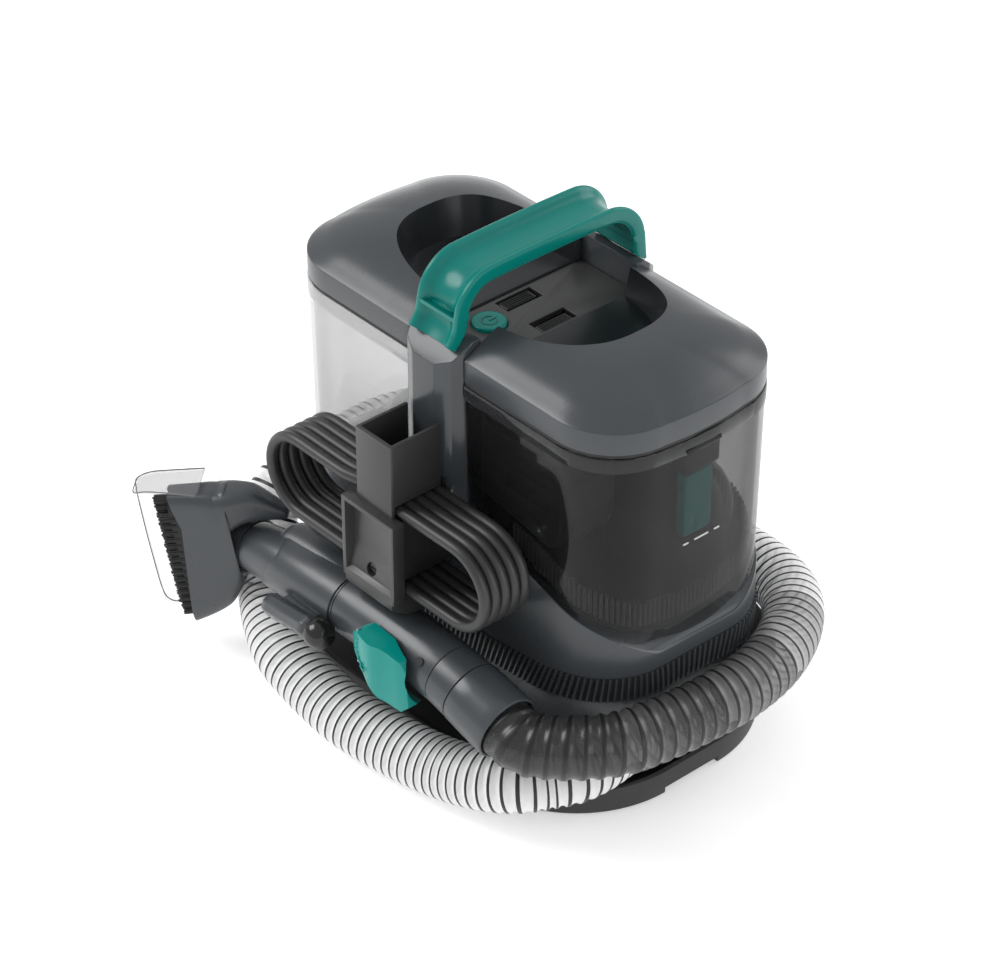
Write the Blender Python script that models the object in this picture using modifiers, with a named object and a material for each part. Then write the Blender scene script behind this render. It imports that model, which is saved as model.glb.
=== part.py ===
"""Portable carpet spot cleaner, built as separate pieces.

Lengths are in millimetres until a mesh is made, where MM turns them into metres.
+X points to the recovery tank, -Y to the front with the cord bracket, +Z up. Z = 0 is the floor.
"""

import math

import bmesh
import bpy
from mathutils import Matrix, Vector

MM = 0.001
GAP = 0.3

# Driving dimensions, measured from the middle of the body
FRAME_SHIFT = (18.0, 31.1, 0.0)    # moves the middle of the whole machine's box over the origin
TANK_LENGTH, TANK_DEPTH, TANK_CORNER = 152.4, 75.3, 44.0   # half sizes of the plan at the lid
TANK_TAPER = 1.6                    # how far the tank walls lean in towards the bottom
COLUMN_HALF = 24.6
LID_BOTTOM, LID_TOP = 264.8, 297.0
SEAM_END, SEAM_RISE = 114.0, 34.0   # height of the tank seat at the ends, and how far it rises inwards
WALL = 2.4
SCOOP_POWER, SCOOP_BACK = 2 / 2.6, 4.0   # roundness of the lid scoops, and how far back their middle lies
DECK_TOP = 270.0
BUTTON = (-7.0, -28.0)
HANDLE_TOP, HANDLE_HALF = 330.0, 18.3
TRAY_LENGTH, TRAY_DEPTH, TRAY_CORNER, TRAY_LIP, TRAY_FLOOR = 150.2, 105.3, 84.0, 18.0, 6.0
CORE_LENGTH, CORE_DEPTH, CORE_CORNER, CORE_TOP = 104.0, 60.5, 40.0, 60.2
SHELF_LOW, SHELF_TOP = 50.0, 55.7
HOSE_DIAMETER = 39.0
CORD_DIAMETER, CORD_TURNS = 7.6, 5
HANK_BACK, HANK_LOW, HANK_HIGH, HANK_LEFT, HANK_RIGHT = -84.0, 133.0, 187.0, -108.0, 92.0
WAND_Y, WAND_TOP, WAND_RADIUS = -118.0, 92.2, 20.3
MOTOR_X, MOTOR_Y = 86.0, 20.0
PUMP_X, PUMP_Y = -60.0, -18.0
VALVE = (-95.0, 30.0)
TOOL_START = -130.0
TOOL_HEADING = Vector((-0.742, -0.651, -0.165)).normalized()

COLOURS = {
    "grey_plastic": ((0.085, 0.095, 0.102, 1), 0.42, 0.0),
    "dark_plastic": ((0.020, 0.020, 0.021, 1), 0.48, 0.0),
    "deck_plastic": ((0.055, 0.053, 0.053, 1), 0.50, 0.0),
    "teal_plastic": ((0.008, 0.225, 0.195, 1), 0.35, 0.0),
    "clear_plastic": ((0.80, 0.80, 0.80, 0.25), 0.08, 0.0),
    "smoked_plastic": ((0.10, 0.10, 0.10, 0.45), 0.08, 0.0),
    "rubber": ((0.03, 0.03, 0.03, 1), 0.75, 0.0),
    "bristle": ((0.012, 0.012, 0.012, 1), 0.70, 0.0),
    "hose": ((0.60, 0.60, 0.60, 1), 0.40, 0.0),
    "cord": ((0.045, 0.045, 0.045, 1), 0.60, 0.0),
    "steel": ((0.60, 0.60, 0.62, 1), 0.30, 1.0),
    "board": ((0.02, 0.14, 0.05, 1), 0.50, 0.0),
}


# ---------------------------------------------------------------- scene and materials

def clear_scene():
    for obj in list(bpy.data.objects):
        bpy.data.objects.remove(obj, do_unlink=True)


def new_collection(name):
    made = bpy.data.collections.new(name)
    bpy.context.scene.collection.children.link(made)
    return made


def make_material(name):
    colour, roughness, metallic = COLOURS[name]
    made = bpy.data.materials.new(name)
    made.use_nodes = True
    shader = made.node_tree.nodes["Principled BSDF"]
    shader.inputs["Base Color"].default_value = (*colour[:3], 1)
    shader.inputs["Roughness"].default_value = roughness
    shader.inputs["Metallic"].default_value = metallic
    shader.inputs["Alpha"].default_value = colour[3]
    return made


clear_scene()
PARTS = new_collection("carpet_cleaner")
CUTTERS = new_collection("cutters")
MATERIALS = {name: make_material(name) for name in COLOURS}
FRAME = bpy.data.objects.new("machine_frame", None)
FRAME.location = Vector(FRAME_SHIFT) * MM
PARTS.objects.link(FRAME)


# ---------------------------------------------------------------- mesh helpers

def add_object(name, bm, finish=None, origin=(0, 0, 0), sharp=35):
    """An object from a bmesh in millimetres, with its origin at the given point."""
    bm.normal_update()
    bmesh.ops.recalc_face_normals(bm, faces=bm.faces)
    bm.transform(Matrix.Scale(MM, 4) @ Matrix.Translation(-Vector(origin)))
    mesh = bpy.data.meshes.new(name)
    bm.to_mesh(mesh)
    bm.free()
    obj = bpy.data.objects.new(name, mesh)
    obj.location = Vector(origin) * MM
    obj.parent = FRAME
    if finish:
        PARTS.objects.link(obj)
        mesh.materials.append(MATERIALS[finish])
        mesh.shade_smooth()
        mesh.set_sharp_from_angle(angle=math.radians(sharp))
    else:
        CUTTERS.objects.link(obj)
        obj.hide_render = True
        obj.display_type = "WIRE"
    return obj


def bridge(bm, ring_a, ring_b):
    count = len(ring_a)
    for i in range(count):
        j = (i + 1) % count
        bm.faces.new((ring_a[i], ring_a[j], ring_b[j], ring_b[i]))


def mirror_cap(bm, ring):
    """Closes a ring that is symmetric in Y with strips that run along Y."""
    last = len(ring) - 1
    for i in range(len(ring) // 2 - 1):
        bm.faces.new((ring[i], ring[i + 1], ring[last - i - 1], ring[last - i]))


def loft(name, rings, finish=None, cap="face", origin=(0, 0, 0), sharp=35):
    """A closed solid through rings of equal length; cap is face, mirror, or None to join last to first."""
    bm = bmesh.new()
    made = [[bm.verts.new(point) for point in ring] for ring in rings]
    for ring_a, ring_b in zip(made, made[1:]):
        bridge(bm, ring_a, ring_b)
    if cap is None:
        bridge(bm, made[-1], made[0])
    elif cap == "mirror":
        mirror_cap(bm, made[0])
        mirror_cap(bm, made[-1])
    else:
        bm.faces.new(made[0])
        bm.faces.new(made[-1])
    return add_object(name, bm, finish, origin, sharp)


def prism(name, outline, low, high, finish=None, plane="xy", bevel=0.0, origin=(0, 0, 0)):
    """A flat outline extruded from low to high along the plane's normal."""
    place = {
        "xy": lambda u, v, w: (u, v, w),
        "xz": lambda u, v, w: (u, w, v),
        "yz": lambda u, v, w: (w, u, v),
    }[plane]
    bm = bmesh.new()
    face = bm.faces.new([bm.verts.new(place(u, v, low)) for u, v in outline])
    made = bmesh.ops.extrude_face_region(bm, geom=[face])
    moved = [item for item in made["geom"] if isinstance(item, bmesh.types.BMVert)]
    bmesh.ops.translate(bm, verts=moved, vec=place(0, 0, high - low))
    obj = add_object(name, bm, finish, origin)
    if bevel:
        add_bevel(obj, bevel)
    return obj


def box(name, low, high, finish=None, bevel=0.0, origin=(0, 0, 0)):
    bm = bmesh.new()
    bmesh.ops.create_cube(bm, size=1)
    size = [h - l for l, h in zip(low, high)]
    middle = [(h + l) / 2 for l, h in zip(low, high)]
    bm.transform(Matrix.Translation(middle) @ Matrix.Diagonal((*size, 1)))
    obj = add_object(name, bm, finish, origin)
    if bevel:
        add_bevel(obj, bevel)
    return obj


def rod(name, start, end, radius, finish=None, end_radius=None, sides=20, origin=None, bevel=0.0):
    """A cylinder or cone between two points."""
    start, end = Vector(start), Vector(end)
    span = end - start
    bm = bmesh.new()
    bmesh.ops.create_cone(
        bm, cap_ends=True, segments=sides, depth=span.length,
        radius1=radius, radius2=radius if end_radius is None else end_radius,
    )
    turn = span.to_track_quat("Z", "Y").to_matrix().to_4x4()
    bm.transform(Matrix.Translation((start + end) / 2) @ turn)
    obj = add_object(name, bm, finish, (start + end) / 2 if origin is None else origin)
    if bevel:
        add_bevel(obj, bevel)
    return obj


def add_bevel(obj, width, segments=2):
    modifier = obj.modifiers.new("bevel", "BEVEL")
    modifier.width = width * MM
    modifier.segments = segments
    modifier.limit_method = "ANGLE"
    modifier.angle_limit = math.radians(40)


def boolean(obj, other, operation):
    modifier = obj.modifiers.new(operation.lower(), "BOOLEAN")
    modifier.operation = operation
    modifier.object = other
    modifier.solver = "EXACT"


def cut(obj, *cutters):
    for cutter in cutters:
        boolean(obj, cutter, "DIFFERENCE")
    return obj


def join(obj, *others):
    for other in others:
        boolean(obj, other, "UNION")
    return obj


# ---------------------------------------------------------------- outlines and curves

def arc(centre, radius, start, end, steps):
    angles = [math.radians(start + (end - start) * i / steps) for i in range(steps + 1)]
    return [(centre[0] + radius * math.cos(a), centre[1] + radius * math.sin(a)) for a in angles]


def mirrored(front):
    """A full outline from its front half, which runs along X at negative Y."""
    return front + [(x, -y) for x, y in reversed(front)]


def rounded(half_x, half_y, radius, steps=6, straight=0):
    """A rounded rectangle, symmetric in Y."""
    left = arc((-half_x + radius, -half_y + radius), radius, 180, 270, steps)
    right = arc((half_x - radius, -half_y + radius), radius, 270, 360, steps)
    span = 2 * (half_x - radius)
    middle = [(-half_x + radius + span * i / (straight + 1), -half_y) for i in range(1, straight + 1)]
    return mirrored(left + middle + right)


def tank_outline(inset=0.0, inner=COLUMN_HALF + 0.6, steps=6):
    """The D-shaped plan of one tank: flat towards the column, round at the outer corners."""
    length, depth = TANK_LENGTH - inset, TANK_DEPTH - inset
    radius = TANK_CORNER - inset / 2
    bulge = 2.5
    centre = (length - bulge - radius, -depth + radius)
    straight = [(inner + inset + (centre[0] - inner - inset) * i / 3, -depth) for i in range(3)]
    end = [(length - bulge * (y / (depth - radius)) ** 2, y) for y in (-0.5 * (depth - radius),)]
    return mirrored(straight + arc(centre, radius, 270, 360, steps) + end)


def seam_height(x):
    """Height of the seat where a tank stands on the base: high at the column, low at the ends."""
    u = min(max((abs(x) - COLUMN_HALF) / (TANK_LENGTH - COLUMN_HALF), 0.0), 1.0)
    return SEAM_END + SEAM_RISE * (1 - u) + 22.0 * math.sqrt(max(0.0, 1 - u ** 6))


def at_height(outline, height, side=1):
    """Lifts an outline to a height, which is a number or a function of x; side -1 mirrors it to -X."""
    lift = height if callable(height) else lambda x: height
    return [(side * x, y, lift(x)) for x, y in outline]


def smooth_path(points, spacing):
    """Points along a Catmull-Rom curve through the given ones, evenly spaced."""
    points = [Vector(p) for p in points]
    fine = []
    for i in range(len(points) - 1):
        a, b, c, d = (points[max(i - 1, 0)], points[i], points[i + 1], points[min(i + 2, len(points) - 1)])
        for step in range(12):
            t = step / 12
            fine.append(0.5 * (2 * b + (c - a) * t + (2 * a - 5 * b + 4 * c - d) * t ** 2
                               + (3 * b - a - 3 * c + d) * t ** 3))
    fine.append(points[-1])
    length = sum((q - p).length for p, q in zip(fine, fine[1:]))
    count = max(2, round(length / spacing))
    even, walked, target = [fine[0]], 0.0, length / count
    for p, q in zip(fine, fine[1:]):
        step = (q - p).length
        while walked + step >= target - 1e-6 and len(even) < count:
            even.append(p.lerp(q, (target - walked) / step))
            target += length / count
        walked += step
    even.append(fine[-1])
    return even


def circle_ring(centre, along, radius, sides=20):
    """Points round a centre, in the plane across a direction."""
    along = Vector(along).normalized()
    side = along.cross(Vector((0, 0, 1))).normalized()
    up = side.cross(along)
    ring = []
    for i in range(sides):
        a = 2 * math.pi * i / sides
        ring.append(Vector(centre) + radius * (side * math.cos(a) + up * math.sin(a)))
    return ring


# ---------------------------------------------------------------- base

def build_tray():
    outer = rounded(TRAY_LENGTH, TRAY_DEPTH, TRAY_CORNER, 7)
    lip = rounded(TRAY_LENGTH - 4, TRAY_DEPTH - 4, TRAY_CORNER - 4, 7)
    rim = rounded(TRAY_LENGTH - 5, TRAY_DEPTH - 5, TRAY_CORNER - 5, 7)
    rings = [at_height(rim, 3.0), at_height(rim, 0.8), at_height(outer, 0.8), at_height(outer, TRAY_LIP),
             at_height(lip, TRAY_LIP), at_height(lip, TRAY_FLOOR)]
    tray = loft("base_tray", rings, "dark_plastic", "mirror")
    cut(tray, box("tray_step_x", (-160, -22.5, -1), (160, 22.5, 5.2)),
        box("tray_step_y", (-62, -110, -1), (62, 110, 5.2)))
    # the steps only lift the rim: the floor plate is put back under them
    join(tray, box("tray_plate", (-146, -24, 3), (146, 24, 5.9)),
         box("tray_plate_y", (-64, -101, 3), (64, 101, 5.9)))
    for name, x, y in (("front_left", -1, -1), ("front_right", 1, -1),
                       ("back_left", -1, 1), ("back_right", 1, 1)):
        centre = (x * 104, y * 58)
        rod(f"foot_{name}", (*centre, 0), (*centre, 2.7), 9, "rubber", sides=16)


def build_core():
    outer = rounded(CORE_LENGTH, CORE_DEPTH, CORE_CORNER, 5)
    inner = rounded(CORE_LENGTH - 3, CORE_DEPTH - 3, CORE_CORNER - 3, 5)
    low = TRAY_FLOOR + GAP
    loft("base_core", [at_height(outer, low), at_height(outer, CORE_TOP),
                       at_height(inner, CORE_TOP), at_height(inner, low)], "dark_plastic", None)


def build_hose_shelf():
    """A ledge round the right end, back and left end, on which the upper turn of hose lies."""
    outer = rounded(163, 104, 80, 7)
    inner = rounded(CORE_LENGTH + GAP, CORE_DEPTH + GAP, CORE_CORNER, 7)
    shelf = loft("hose_shelf", [at_height(outer, SHELF_LOW), at_height(outer, SHELF_TOP),
                                at_height(inner, SHELF_TOP), at_height(inner, SHELF_LOW)], "dark_plastic", None)
    cut(shelf, box("shelf_front", (-175, -120, 40), (175, -18, 60)))


def build_housing():
    """The skirted base housing: open below, closed above by the seat of the tanks."""
    low = CORE_TOP + GAP
    shapes = [(147.5, 83.0, 62.0, low), (148.5, 82.5, 58.0, 78.0), (149.6, 78.5, 50.0, 104.0)]
    rings = [at_height(rounded(a, b, r, 6, 7), z) for a, b, r, z in shapes]
    seat = rounded(TANK_LENGTH - TANK_TAPER, TANK_DEPTH - TANK_TAPER, TANK_CORNER, 6, 7)
    rings.append([(x, y, max(seam_height(x * 1.01) - GAP, 106)) for x, y in seat])
    housing = loft("base_housing", rings, "grey_plastic", "mirror")
    inner_low = rounded(147, 80, 56, 6, 7)
    inner_top = rounded(145, 70, 40, 6, 7)
    hollow = loft("housing_hollow", [at_height(inner_low, low - 5), at_height(inner_low, 78),
                                     at_height(inner_top, lambda x: min(seam_height(x) - 8, 140))], cap="mirror")
    cut(housing, hollow)
    cut(housing, prism("motor_hole", [(MOTOR_X + x, MOTOR_Y + y) for x, y in rounded(49, 37, 30, 5)], 60, 250))
    cut(housing, prism("pump_hole", [(PUMP_X + x, PUMP_Y + y) for x, y in rounded(27, 31, 16, 4)], 60, 250))
    cut(housing, box("column_hole", (-21, -70, 60), (21, 70, 250)))
    cut(housing, rod("valve_hole", (*VALVE, 60), (*VALVE, 250), 9.5, sides=16))


def dome_rings(x, y, half_x, half_y, radius, low, high, grow=0.0):
    """Rings of a round-shouldered dome over a rounded rectangle; low is a height or a function of x."""
    base = low if callable(low) else lambda place: low
    shape = ((0.0, 1.0), (0.55, 0.985), (0.75, 0.93), (0.88, 0.82), (0.96, 0.62), (1.0, 0.34))
    rings = []
    for height, scale in shape:
        outline = rounded((half_x + grow) * scale, (half_y + grow) * scale, (radius + grow) * scale, 4)
        rings.append([(x + px, y + py, base(x + px) + (high + grow - base(x + px)) * height)
                      for px, py in outline])
    return rings


def build_covers():
    """Covers that stand up from the base into hollows of the tanks: over the motor and over the pump."""
    for name, x, y, size, high in (("motor_cover", MOTOR_X, MOTOR_Y, (48.5, 36.5, 29.5), 196),
                                   ("pump_cover", PUMP_X, PUMP_Y, (26.5, 30.5, 15.5), 186)):
        cover = loft(name, dome_rings(x, y, *size, 96, high), "dark_plastic", "mirror")
        cut(cover, loft(f"{name}_hollow", dome_rings(x, y, *size, 90, high, grow=-2.5), cap="mirror"))


def turned(name, axis, profile, finish, sides=20):
    """A turned solid about a vertical axis; the profile is (radius, height) from top to bottom."""
    mesh = bpy.data.meshes.new(name)
    edges = [(i, i + 1) for i in range(len(profile) - 1)]
    mesh.from_pydata([(r * MM, 0, z * MM) for r, z in profile], edges, [])
    mesh.materials.append(MATERIALS[finish])
    obj = bpy.data.objects.new(name, mesh)
    PARTS.objects.link(obj)
    obj.location = (axis[0] * MM, axis[1] * MM, 0)
    obj.parent = FRAME
    screw = obj.modifiers.new("turn", "SCREW")
    screw.steps = screw.render_steps = sides
    screw.use_merge_vertices = True
    screw.merge_threshold = 0.00005
    return obj


def build_inside():
    motor = (MOTOR_X, MOTOR_Y)
    turned("vacuum_motor", motor, [(0, 178), (10, 178), (12, 172), (28, 168), (30, 160), (30, 112), (25, 108),
                                   (8, 108), (8, 104), (0, 104)], "steel")
    turned("motor_shaft", motor, [(0, 103.6), (3, 103.6), (3, 72), (0, 72)], "steel", 12)
    turned("motor_fan", motor, [(3.3, 98), (8, 98), (8, 92), (31, 86), (31, 82), (3.3, 80), (3.3, 98)],
           "dark_plastic")
    box("fan_plate", (MOTOR_X - 34, MOTOR_Y - 34, 66), (MOTOR_X + 34, MOTOR_Y + 34, 71), "dark_plastic", 1)
    pump = box("water_pump", (PUMP_X - 18, PUMP_Y - 16, 60), (PUMP_X + 18, PUMP_Y + 16, 100), "dark_plastic", 2)
    join(pump, rod("pump_head", (PUMP_X, PUMP_Y, 98), (PUMP_X, PUMP_Y, 150), 15))
    box("control_board", (-30, -40, 12), (38, 30, 14), "board")
    box("power_switch", (-15, -36, 236), (1, -20, 252), "dark_plastic", 1)


def build_hose_port():
    port = rod("hose_port", (12, 81.2, 26), (39.7, 81.2, 26), 18.2, "dark_plastic", sides=20)
    join(port, box("port_neck", (13, 60.9, 9), (37, 82, 43)))
    cut(port, rod("port_bore", (20, 81.2, 26), (45, 81.2, 26), 14.5),
        rod("port_side", (27, 81.2, 26), (27, 55, 26), 9))
    cut(bpy.data.objects["base_core"], rod("core_port", (27, 81.2, 26), (27, 50, 26), 9))


# ---------------------------------------------------------------- column, deck and handle

def column_outline(inset=0.0, front=86.0):
    return mirrored([(-COLUMN_HALF + inset, -73 + inset), (-20 + inset * 0.8, -81 + inset),
                     (-9.5, -front + inset), (9.5, -front + inset), (20 - inset * 0.8, -81 + inset),
                     (COLUMN_HALF - inset, -73 + inset)])


def build_column():
    """Front and back pillars with walls between them, standing on the seat of the base."""
    low = 170.4
    column = prism("centre_column", column_outline(), low, 289, "grey_plastic")
    cut(column, prism("column_hollow", column_outline(WALL), low - 5, 255))
    cut(column, box("column_gap", (-30, -62, 266), (30, 62, 300)),
        box("deck_hole", (-21, -60, 240), (21, 60, 300)))
    slope = [(62, 294), (76, 283), (92, 268), (92, 300), (62, 300)]
    cut(column, prism("front_slope", [(-y, z) for y, z in slope], -30, 30, plane="yz"),
        prism("back_slope", slope, -30, 30, plane="yz"))
    cut(column, prism("cord_recess", [(-26, -90), (26, -90), (26, -82.3), (-26, -82.3)], 160, 194.5))
    deck = box("top_deck", (-24.2, -61.5, 266.3), (24.2, 61.5, DECK_TOP), "deck_plastic")
    cut(deck, rod("button_hole", (*BUTTON, 260), (*BUTTON, 280), 11.3, sides=24),
        box("catch_slot_clean", (-21.5, -11, 260), (-9, 17, 280)),
        box("catch_slot_dirty", (9, -11, 260), (21.5, 17, 280)))
    rod("power_button", (*BUTTON, 262), (*BUTTON, 272), 10.9, "teal_plastic", sides=24, origin=(*BUTTON, 267),
        bevel=0.8)
    box("clean_tank_catch", (-21, -9, 259), (-12.5, 15, 268.4), "dark_plastic", 0.8, origin=(-16.5, 3, 264))
    box("dirty_tank_catch", (12.5, -9, 259), (21, 15, 268.4), "dark_plastic", 0.8, origin=(16.5, 3, 264))


def handle_path():
    """Centre line of the carry strap in the YZ plane, front foot to back foot, with outward normals."""
    half = [(-78.0, 284.2), (-72.6, 291.5), (-70.6, 299.0), (-70.0, 304.0)]
    top = HANDLE_TOP - 5.6
    bend = arc((-46.0, top - 24), 24.0, 180, 90, 6)
    front = bend + [(-15.0, top + 0.6)]
    back = [(70.2, 304.0), (70.6, 299.0), (71.2, 291.5), (72.0, 284.2)]
    return half + front + [(-y, z) for y, z in reversed(front)] + back


def build_handle():
    """A channel-shaped strap: raised rims outside, a shallow trough between them."""
    path = [Vector(p) for p in handle_path()]
    section = [(-HANDLE_HALF, -2.0), (-HANDLE_HALF, 4.2), (-HANDLE_HALF + 2.6, 5.0), (-11, 0.4), (-5, -1.2),
               (5, -1.2), (11, 0.4), (HANDLE_HALF - 2.6, 5.0), (HANDLE_HALF, 4.2), (HANDLE_HALF, -2.0),
               (HANDLE_HALF - 4, -5.0), (-HANDLE_HALF + 4, -5.0)]
    rings = []
    for i, point in enumerate(path):
        ahead = (path[min(i + 1, len(path) - 1)] - path[max(i - 1, 0)]).normalized()
        normal = Vector((-ahead.y, ahead.x))
        rings.append([(x, point.x + normal.x * h, point.y + normal.y * h) for x, h in section])
    handle = loft("carry_handle", rings, "teal_plastic", "face", sharp=30)
    keep = [
        (-60, 296.2), (-76, 283.4), (-95, 266.5), (-95, 255), (95, 255), (95, 266.5), (76, 283.4), (60, 296.2)]
    cut(handle, prism("handle_seat", keep, -30, 30, plane="yz"))


# ---------------------------------------------------------------- tanks and lids

def build_tank(name, side, finish):
    """An open cup that follows the seat of the base."""
    def floor(x):
        return seam_height(x) + WALL

    rings = [at_height(tank_outline(TANK_TAPER + WALL), floor, side), at_height(tank_outline(WALL), 262, side),
             at_height(tank_outline(0), 262, side), at_height(tank_outline(TANK_TAPER), seam_height, side)]
    return loft(name, rings, finish, "mirror")


def build_tanks():
    def on_seat(x):
        return seam_height(x) + 0.5

    clean = build_tank("clean_tank", -1, "clear_plastic")
    x, y, size = PUMP_X, PUMP_Y, (26.5, 30.5, 15.5)
    join(clean, loft("pump_bay", dome_rings(x, y, *size, on_seat, 186, grow=3.0), cap="mirror"))
    cut(clean, loft("pump_bay_hollow", dome_rings(x, y, *size, 100, 186, grow=0.6), cap="mirror"))
    cut(clean, rod("outlet", (*VALVE, 80), (*VALVE, 180), 6.2, sides=16))
    dirty = build_tank("dirty_tank", 1, "smoked_plastic")
    x, y, size = MOTOR_X, MOTOR_Y, (48.5, 36.5, 29.5)
    join(dirty, loft("motor_bay", dome_rings(x, y, *size, on_seat, 196, grow=3.0), cap="mirror"))
    cut(dirty, loft("motor_bay_hollow", dome_rings(x, y, *size, 90, 196, grow=0.6), cap="mirror"))
    seat = seam_height(VALVE[0])
    turned("tank_valve", VALVE, [(0, seat + 12), (8.5, seat + 11), (8.5, seat + 7), (5.6, seat + 7),
                                 (5.6, seat - 8), (0, seat - 8)], "rubber", 16)


def lid_outline(inset, grow):
    """The plan of a lid ring: only the outer edge moves in, the edge at the column stays."""
    outline = tank_outline(grow)
    edge = min(x for x, _ in outline)
    target = COLUMN_HALF + 0.6 + inset
    return [(target if x == edge else x, y) for x, y in outline]


def scoop_outline(reach, half_y, grow=0.0):
    """A D-shaped finger scoop, open towards the column and a little nearer the back."""
    front = [(0, -half_y - grow)]
    for i in range(1, 10):
        angle = math.radians(10 * i)
        front.append(((reach + grow) * math.sin(angle) ** SCOOP_POWER,
                      -(half_y + grow) * math.cos(angle) ** SCOOP_POWER))
    front[-1] = (reach + grow, -3.0)
    return [(x, y + SCOOP_BACK) for x, y in mirrored(front)]


def build_lid(name, side, reach, half_y, finish):
    def rings(inset):
        shape = ((0.0, LID_BOTTOM - inset * 2), (0.0, 277.0), (1.6, 280.5), (6.0, 284.6), (14.0, 289.0),
                 (26.0, 293.2), (44.0, LID_TOP))
        return [at_height(lid_outline(inset, grow + inset), z - (inset if z > 278 else 0), side)
                for grow, z in shape]

    lid = loft(name, rings(0.0), finish, "mirror", sharp=25)
    hollow = loft(f"{name}_hollow", rings(WALL), cap="mirror")
    pan = loft(f"{name}_pan", [at_height(scoop_outline(reach - 7, half_y - 7, WALL), 270.4 - WALL, side),
                               at_height(scoop_outline(reach, half_y, WALL), 305, side)], cap="mirror")
    cut(hollow, pan)
    cut(lid, hollow)
    scoop = loft(f"{name}_scoop", [at_height(scoop_outline(reach - 7, half_y - 7), 271.2, side),
                                   at_height(scoop_outline(reach + 1, half_y + 1), 306, side)], cap="mirror")
    cut(lid, scoop)


def build_lids():
    build_lid("clean_tank_lid", -1, 102, 58, "grey_plastic")
    build_lid("dirty_tank_lid", 1, 89, 56, "grey_plastic")
    for name, side in (("clean_tank_seal", -1), ("dirty_tank_seal", 1)):
        rings = [at_height(tank_outline(0.3), 262.3, side), at_height(tank_outline(0.3), 264.5, side),
                 at_height(tank_outline(WALL), 264.5, side), at_height(tank_outline(WALL), 262.3, side)]
        loft(name, rings, "rubber", None)


def build_recovery_parts():
    """What hangs inside the recovery tank: the inlet baffle with its slot, the float and its guide."""
    outline = [(30, 186), (92, 176), (101, 184), (104, 200), (104, 222), (96, 236), (30, 240)]
    baffle = prism("inlet_baffle", outline, -68, -26, "dark_plastic", "xz", 3)
    cut(baffle, box("baffle_slot", (52, -75, 203), (92, -60, 209)))
    join(baffle, box("baffle_neck", (40, -58, 232), (72, -34, 267.6)))
    box("float", (134, -6, 182), (142, 16, 226), "teal_plastic", 1.5, origin=(138, 5, 204))
    guide = box("float_guide", (132, -9, 229), (144, 19, 262.0), "dark_plastic", 1)
    cut(guide, box("float_guide_bay", (133.5, -7, 222), (142.5, 17, 240)))


# ---------------------------------------------------------------- cord bracket, hank, plug

def build_bracket():
    front = HANK_BACK - CORD_DIAMETER * CORD_TURNS
    bracket = box("cord_bracket", (-24, front - 9, 126), (24, front - 0.4, 184), "dark_plastic")
    join(bracket, box("bracket_arm", (-20, front - 2, 138), (20, -82.7, 182)))
    join(bracket, box("bracket_plate", (-16, front - 3, 180), (16, front - 0.4, 235)))
    for x in (-16, 13.8):
        join(bracket, box(f"bracket_side_{x}", (x, front - 1, 191.4), (x + 2.2, -86.4, 235)))
    foot = [(front - 9, 130), (front - 9, 122), (front + 2, 114), (-86.2, 108), (-86.2, 118), (front + 4, 126.5),
            (front + 4, 128.5), (front - 2, 128.5)]
    join(bracket, prism("bracket_foot", foot, -22, 22, plane="yz"))
    pocket = [(front - 12, 181), (front - 12, 129), (front - 6, 133), (front - 1.5, 150), (front - 1.5, 181)]
    cut(bracket, prism("bracket_pocket", pocket, -21, 21, plane="yz"))
    cut(bracket, rod("bracket_hole", (-2, front - 14, 138), (-2, front + 8, 138), 4, sides=16))
    screw = rod("bracket_screw", (-2, front - 3.0, 138), (-2, front - 0.5, 138), 3.6, "steel", sides=16)
    cut(screw, box("screw_slot", (-4.6, front - 5, 137.5), (0.6, front - 2, 138.5)))


def build_hank():
    """The wound cord as one solid: a stadium-shaped loop with a hole for the bracket."""
    middle, radius = (HANK_LOW + HANK_HIGH) / 2, (HANK_HIGH - HANK_LOW) / 2
    half = CORD_DIAMETER / 2
    rings = []
    for y, r in ((HANK_BACK, radius + half), (HANK_BACK - CORD_DIAMETER * CORD_TURNS, radius + half),
                 (HANK_BACK - CORD_DIAMETER * CORD_TURNS, radius - half), (HANK_BACK, radius - half)):
        outline = (arc((HANK_RIGHT - radius, middle), r, -90, 90, 8)
                   + arc((HANK_LEFT + radius, middle), r, 90, 270, 8))
        rings.append([(x, y, z) for x, z in outline])
    hank = loft("cord_hank", rings, "cord", None)
    front = HANK_BACK - CORD_DIAMETER * CORD_TURNS
    cut(hank, box("relief_notch", (-54.3, -91.8, 180), (12, HANK_BACK + 1, 195)))
    cut(hank, box("plug_notch", (2, front - 1, 180), (21.3, front + 8.2, 195)))
    rod("cord_strain_relief", (-22, -87.4, 187), (-54, -87.4, 187), 4.4, "rubber", 4.0, 12)
    plug = box("power_plug", (-11, front + 1.2, 191.4), (11, -91, 202), "dark_plastic", 1.2)
    lane = front + CORD_DIAMETER / 2
    join(plug, rod("plug_outlet", (6, lane, 187), (21, lane, 187), 3.7, sides=12))
    join(plug, box("plug_neck", (4, front + 1.5, 184.5), (10.5, lane + 3.2, 194)))
    for x in (-6, 6):
        join(plug, rod(f"plug_pin_{x}", (x, -105, 200), (x, -105, 214), 2, sides=10))


# ---------------------------------------------------------------- wand and tool

def wand_point(x):
    """The wand's centre line: a long shallow arch that drops faster to the hose end."""
    drop = 0.00145 if x > 20 else 0.00047
    return Vector((x, WAND_Y, WAND_TOP - drop * (x - 20) ** 2))


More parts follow.
